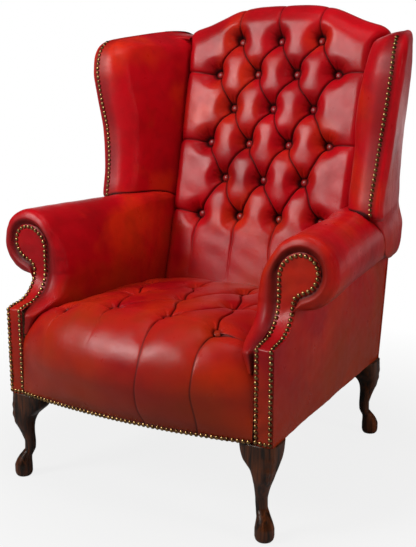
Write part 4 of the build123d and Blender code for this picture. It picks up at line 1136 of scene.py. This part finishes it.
build_back()
build_seat()
for sign, side in ((1, "right"), (-1, "left")):
    arm = build_arm(sign, f"{side}_arm_leather")
    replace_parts(arm, f"{side}_arm_cover")
    facing = build_facing(sign, f"{side}_facing_leather")
    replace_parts(facing, f"{side}_arm_facing")
    facing_nails(sign, f"{side}_facing_nails")
    outer = build_outer_arm(sign, f"{side}_outer_arm_leather")
    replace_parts(outer, f"{side}_outer_arm_panel")
    wing, panel = build_wing(sign, f"{side}_wing_leather", f"{side}_outer_wing_leather")
    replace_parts(wing, f"{side}_wing_cover")
    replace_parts(panel, f"{side}_outer_wing_panel")
    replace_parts(build_post(sign, f"{side}_wing_upright"), f"{side}_wing_post")
    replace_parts(build_leg(f"{side}_front_cabriole", LEG_FRONT, sign, 1), f"{side}_front_leg")
    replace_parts(build_leg(f"{side}_rear_cabriole", LEG_REAR, sign, -1), f"{side}_rear_leg")
build_lining()


# Floor, light and camera
FLOOR_HALF = 14.0
FLOOR_Z = -0.0006
SHADOW_SPREAD = (0.5, 1.3)  # distances over which the shadow near the chair ends
SHADOW_WHITE = 0.84  # how white the floor is seen in the shadow
MIRROR_SPREAD = (3.0, 12.0)  # distances over which the floor turns white in reflections
BACKDROP_SPREAD = (0.93, 0.99)  # cosines over which the room turns white in reflections
ROOM_STRENGTH = 0.05


def white_seen(nodes, dark, at_camera, at_mirror):
    """Dark, with white in front of it as far as the camera and reflections are to see that."""
    path = nodes.add("LightPath").outputs
    camera = nodes.calc("MULTIPLY", path["Is Camera Ray"], at_camera)
    mirror = nodes.calc("MAXIMUM", path["Is Glossy Ray"], path["Is Transmission Ray"])
    factor = nodes.calc("MAXIMUM", camera, nodes.calc("MULTIPLY", mirror, at_mirror))
    white = nodes.add("Emission", {"Color": (1, 1, 1), "Strength": 1.0})
    return nodes.add("MixShader", {0: factor, 1: dark.outputs[0], 2: white.outputs[0]}).outputs[0]


def build_floor():
    """A white floor that keeps a soft shadow near the chair and is pure white further off."""
    material, nodes, shader, place = new_material("floor")
    nodes.set(shader, {"Base Color": (0.25, 0.25, 0.25), "Roughness": 0.9})
    far = nodes.add("VectorMath", {0: place}, operation="LENGTH").outputs["Value"]
    seen = nodes.spread(far, *SHADOW_SPREAD, SHADOW_WHITE, 1.0)
    surface = white_seen(nodes, shader, seen, nodes.spread(far, *MIRROR_SPREAD))
    nodes.set(nodes.tree.nodes["Material Output"], {"Surface": surface})
    mesh = bpy.data.meshes.new("floor")
    corners = [(x * FLOOR_HALF, y * FLOOR_HALF, FLOOR_Z) for x, y in ((-1, -1), (1, -1), (1, 1), (-1, 1))]
    mesh.from_pydata(corners, [], [(0, 1, 2, 3)])
    mesh.materials.append(material)
    placed("floor", mesh)


def aimed(made, right, up, back, place):
    """Put a lamp or camera at a place, turned to its own right, up and back directions."""
    rows = [(right[k], up[k], back[k], place[k]) for k in range(3)]
    made.matrix_world = Matrix(rows + [(0, 0, 0, 1)])
    return made


def area_light(name, place, target, size, power, colour=(1, 1, 1), shine=True):
    light = bpy.data.lights.new(name, "AREA")
    light.shape = "RECTANGLE"
    light.size, light.size_y = size
    light.energy, light.color = power, colour
    back = unit(np.subtract(place, target))
    right = unit(np.cross((0, 0, 1), back))
    aimed(placed(name, light), right, np.cross(back, right), back, place).visible_glossy = shine


def build_light():
    """A dim room with a white backdrop behind the chair, and three soft lamps."""
    world = bpy.data.worlds.new("studio")
    nodes = Nodes(world)
    lit = nodes.add("Background", {"Color": (0.94, 0.96, 1.0), "Strength": ROOM_STRENGTH})
    to_backdrop = (-math.sin(CAMERA_TURN), math.cos(CAMERA_TURN), 0)
    way = nodes.add("VectorMath", {0: nodes.add("TexCoord").outputs["Generated"], 1: to_backdrop},
                    operation="DOT_PRODUCT").outputs["Value"]
    surface = white_seen(nodes, lit, 1.0, nodes.spread(way, *BACKDROP_SPREAD))
    nodes.set(nodes.tree.nodes["World Output"], {"Surface": surface})
    bpy.context.scene.world = world
    area_light("key", (-1.5, -2.3, 2.2), (0, 0, 0.6), (0.9, 1.1), 92, (1, 0.985, 0.96))
    area_light("fill", (2.8, -0.3, 1.35), (0, 0, 0.5), (0.7, 1.6), 50, (1, 0.93, 0.86), shine=False)
    area_light("top", (0.2, -0.5, 2.7), (0, 0, 0.4), (1.2, 1.0), 36, shine=False)


def build_camera():
    sin, cos = math.sin, math.cos
    right = np.array([cos(CAMERA_TURN), sin(CAMERA_TURN), 0])
    back = np.array([
        sin(CAMERA_TURN) * cos(CAMERA_TILT), -cos(CAMERA_TURN) * cos(CAMERA_TILT), sin(CAMERA_TILT)])
    side = cos(CAMERA_ROLL) * right + sin(CAMERA_ROLL) * np.cross(back, right)
    camera = bpy.data.cameras.new("camera")
    camera.lens, camera.sensor_width = CAMERA_LENS, 36
    camera.shift_x, camera.shift_y = CAMERA_SHIFT
    bpy.context.scene.camera = aimed(
        placed("camera", camera), side, np.cross(back, side), back, CAMERA_PLACE)


build_floor()
build_light()
build_camera()
bpy.context.scene.view_settings.view_transform = "Standard"
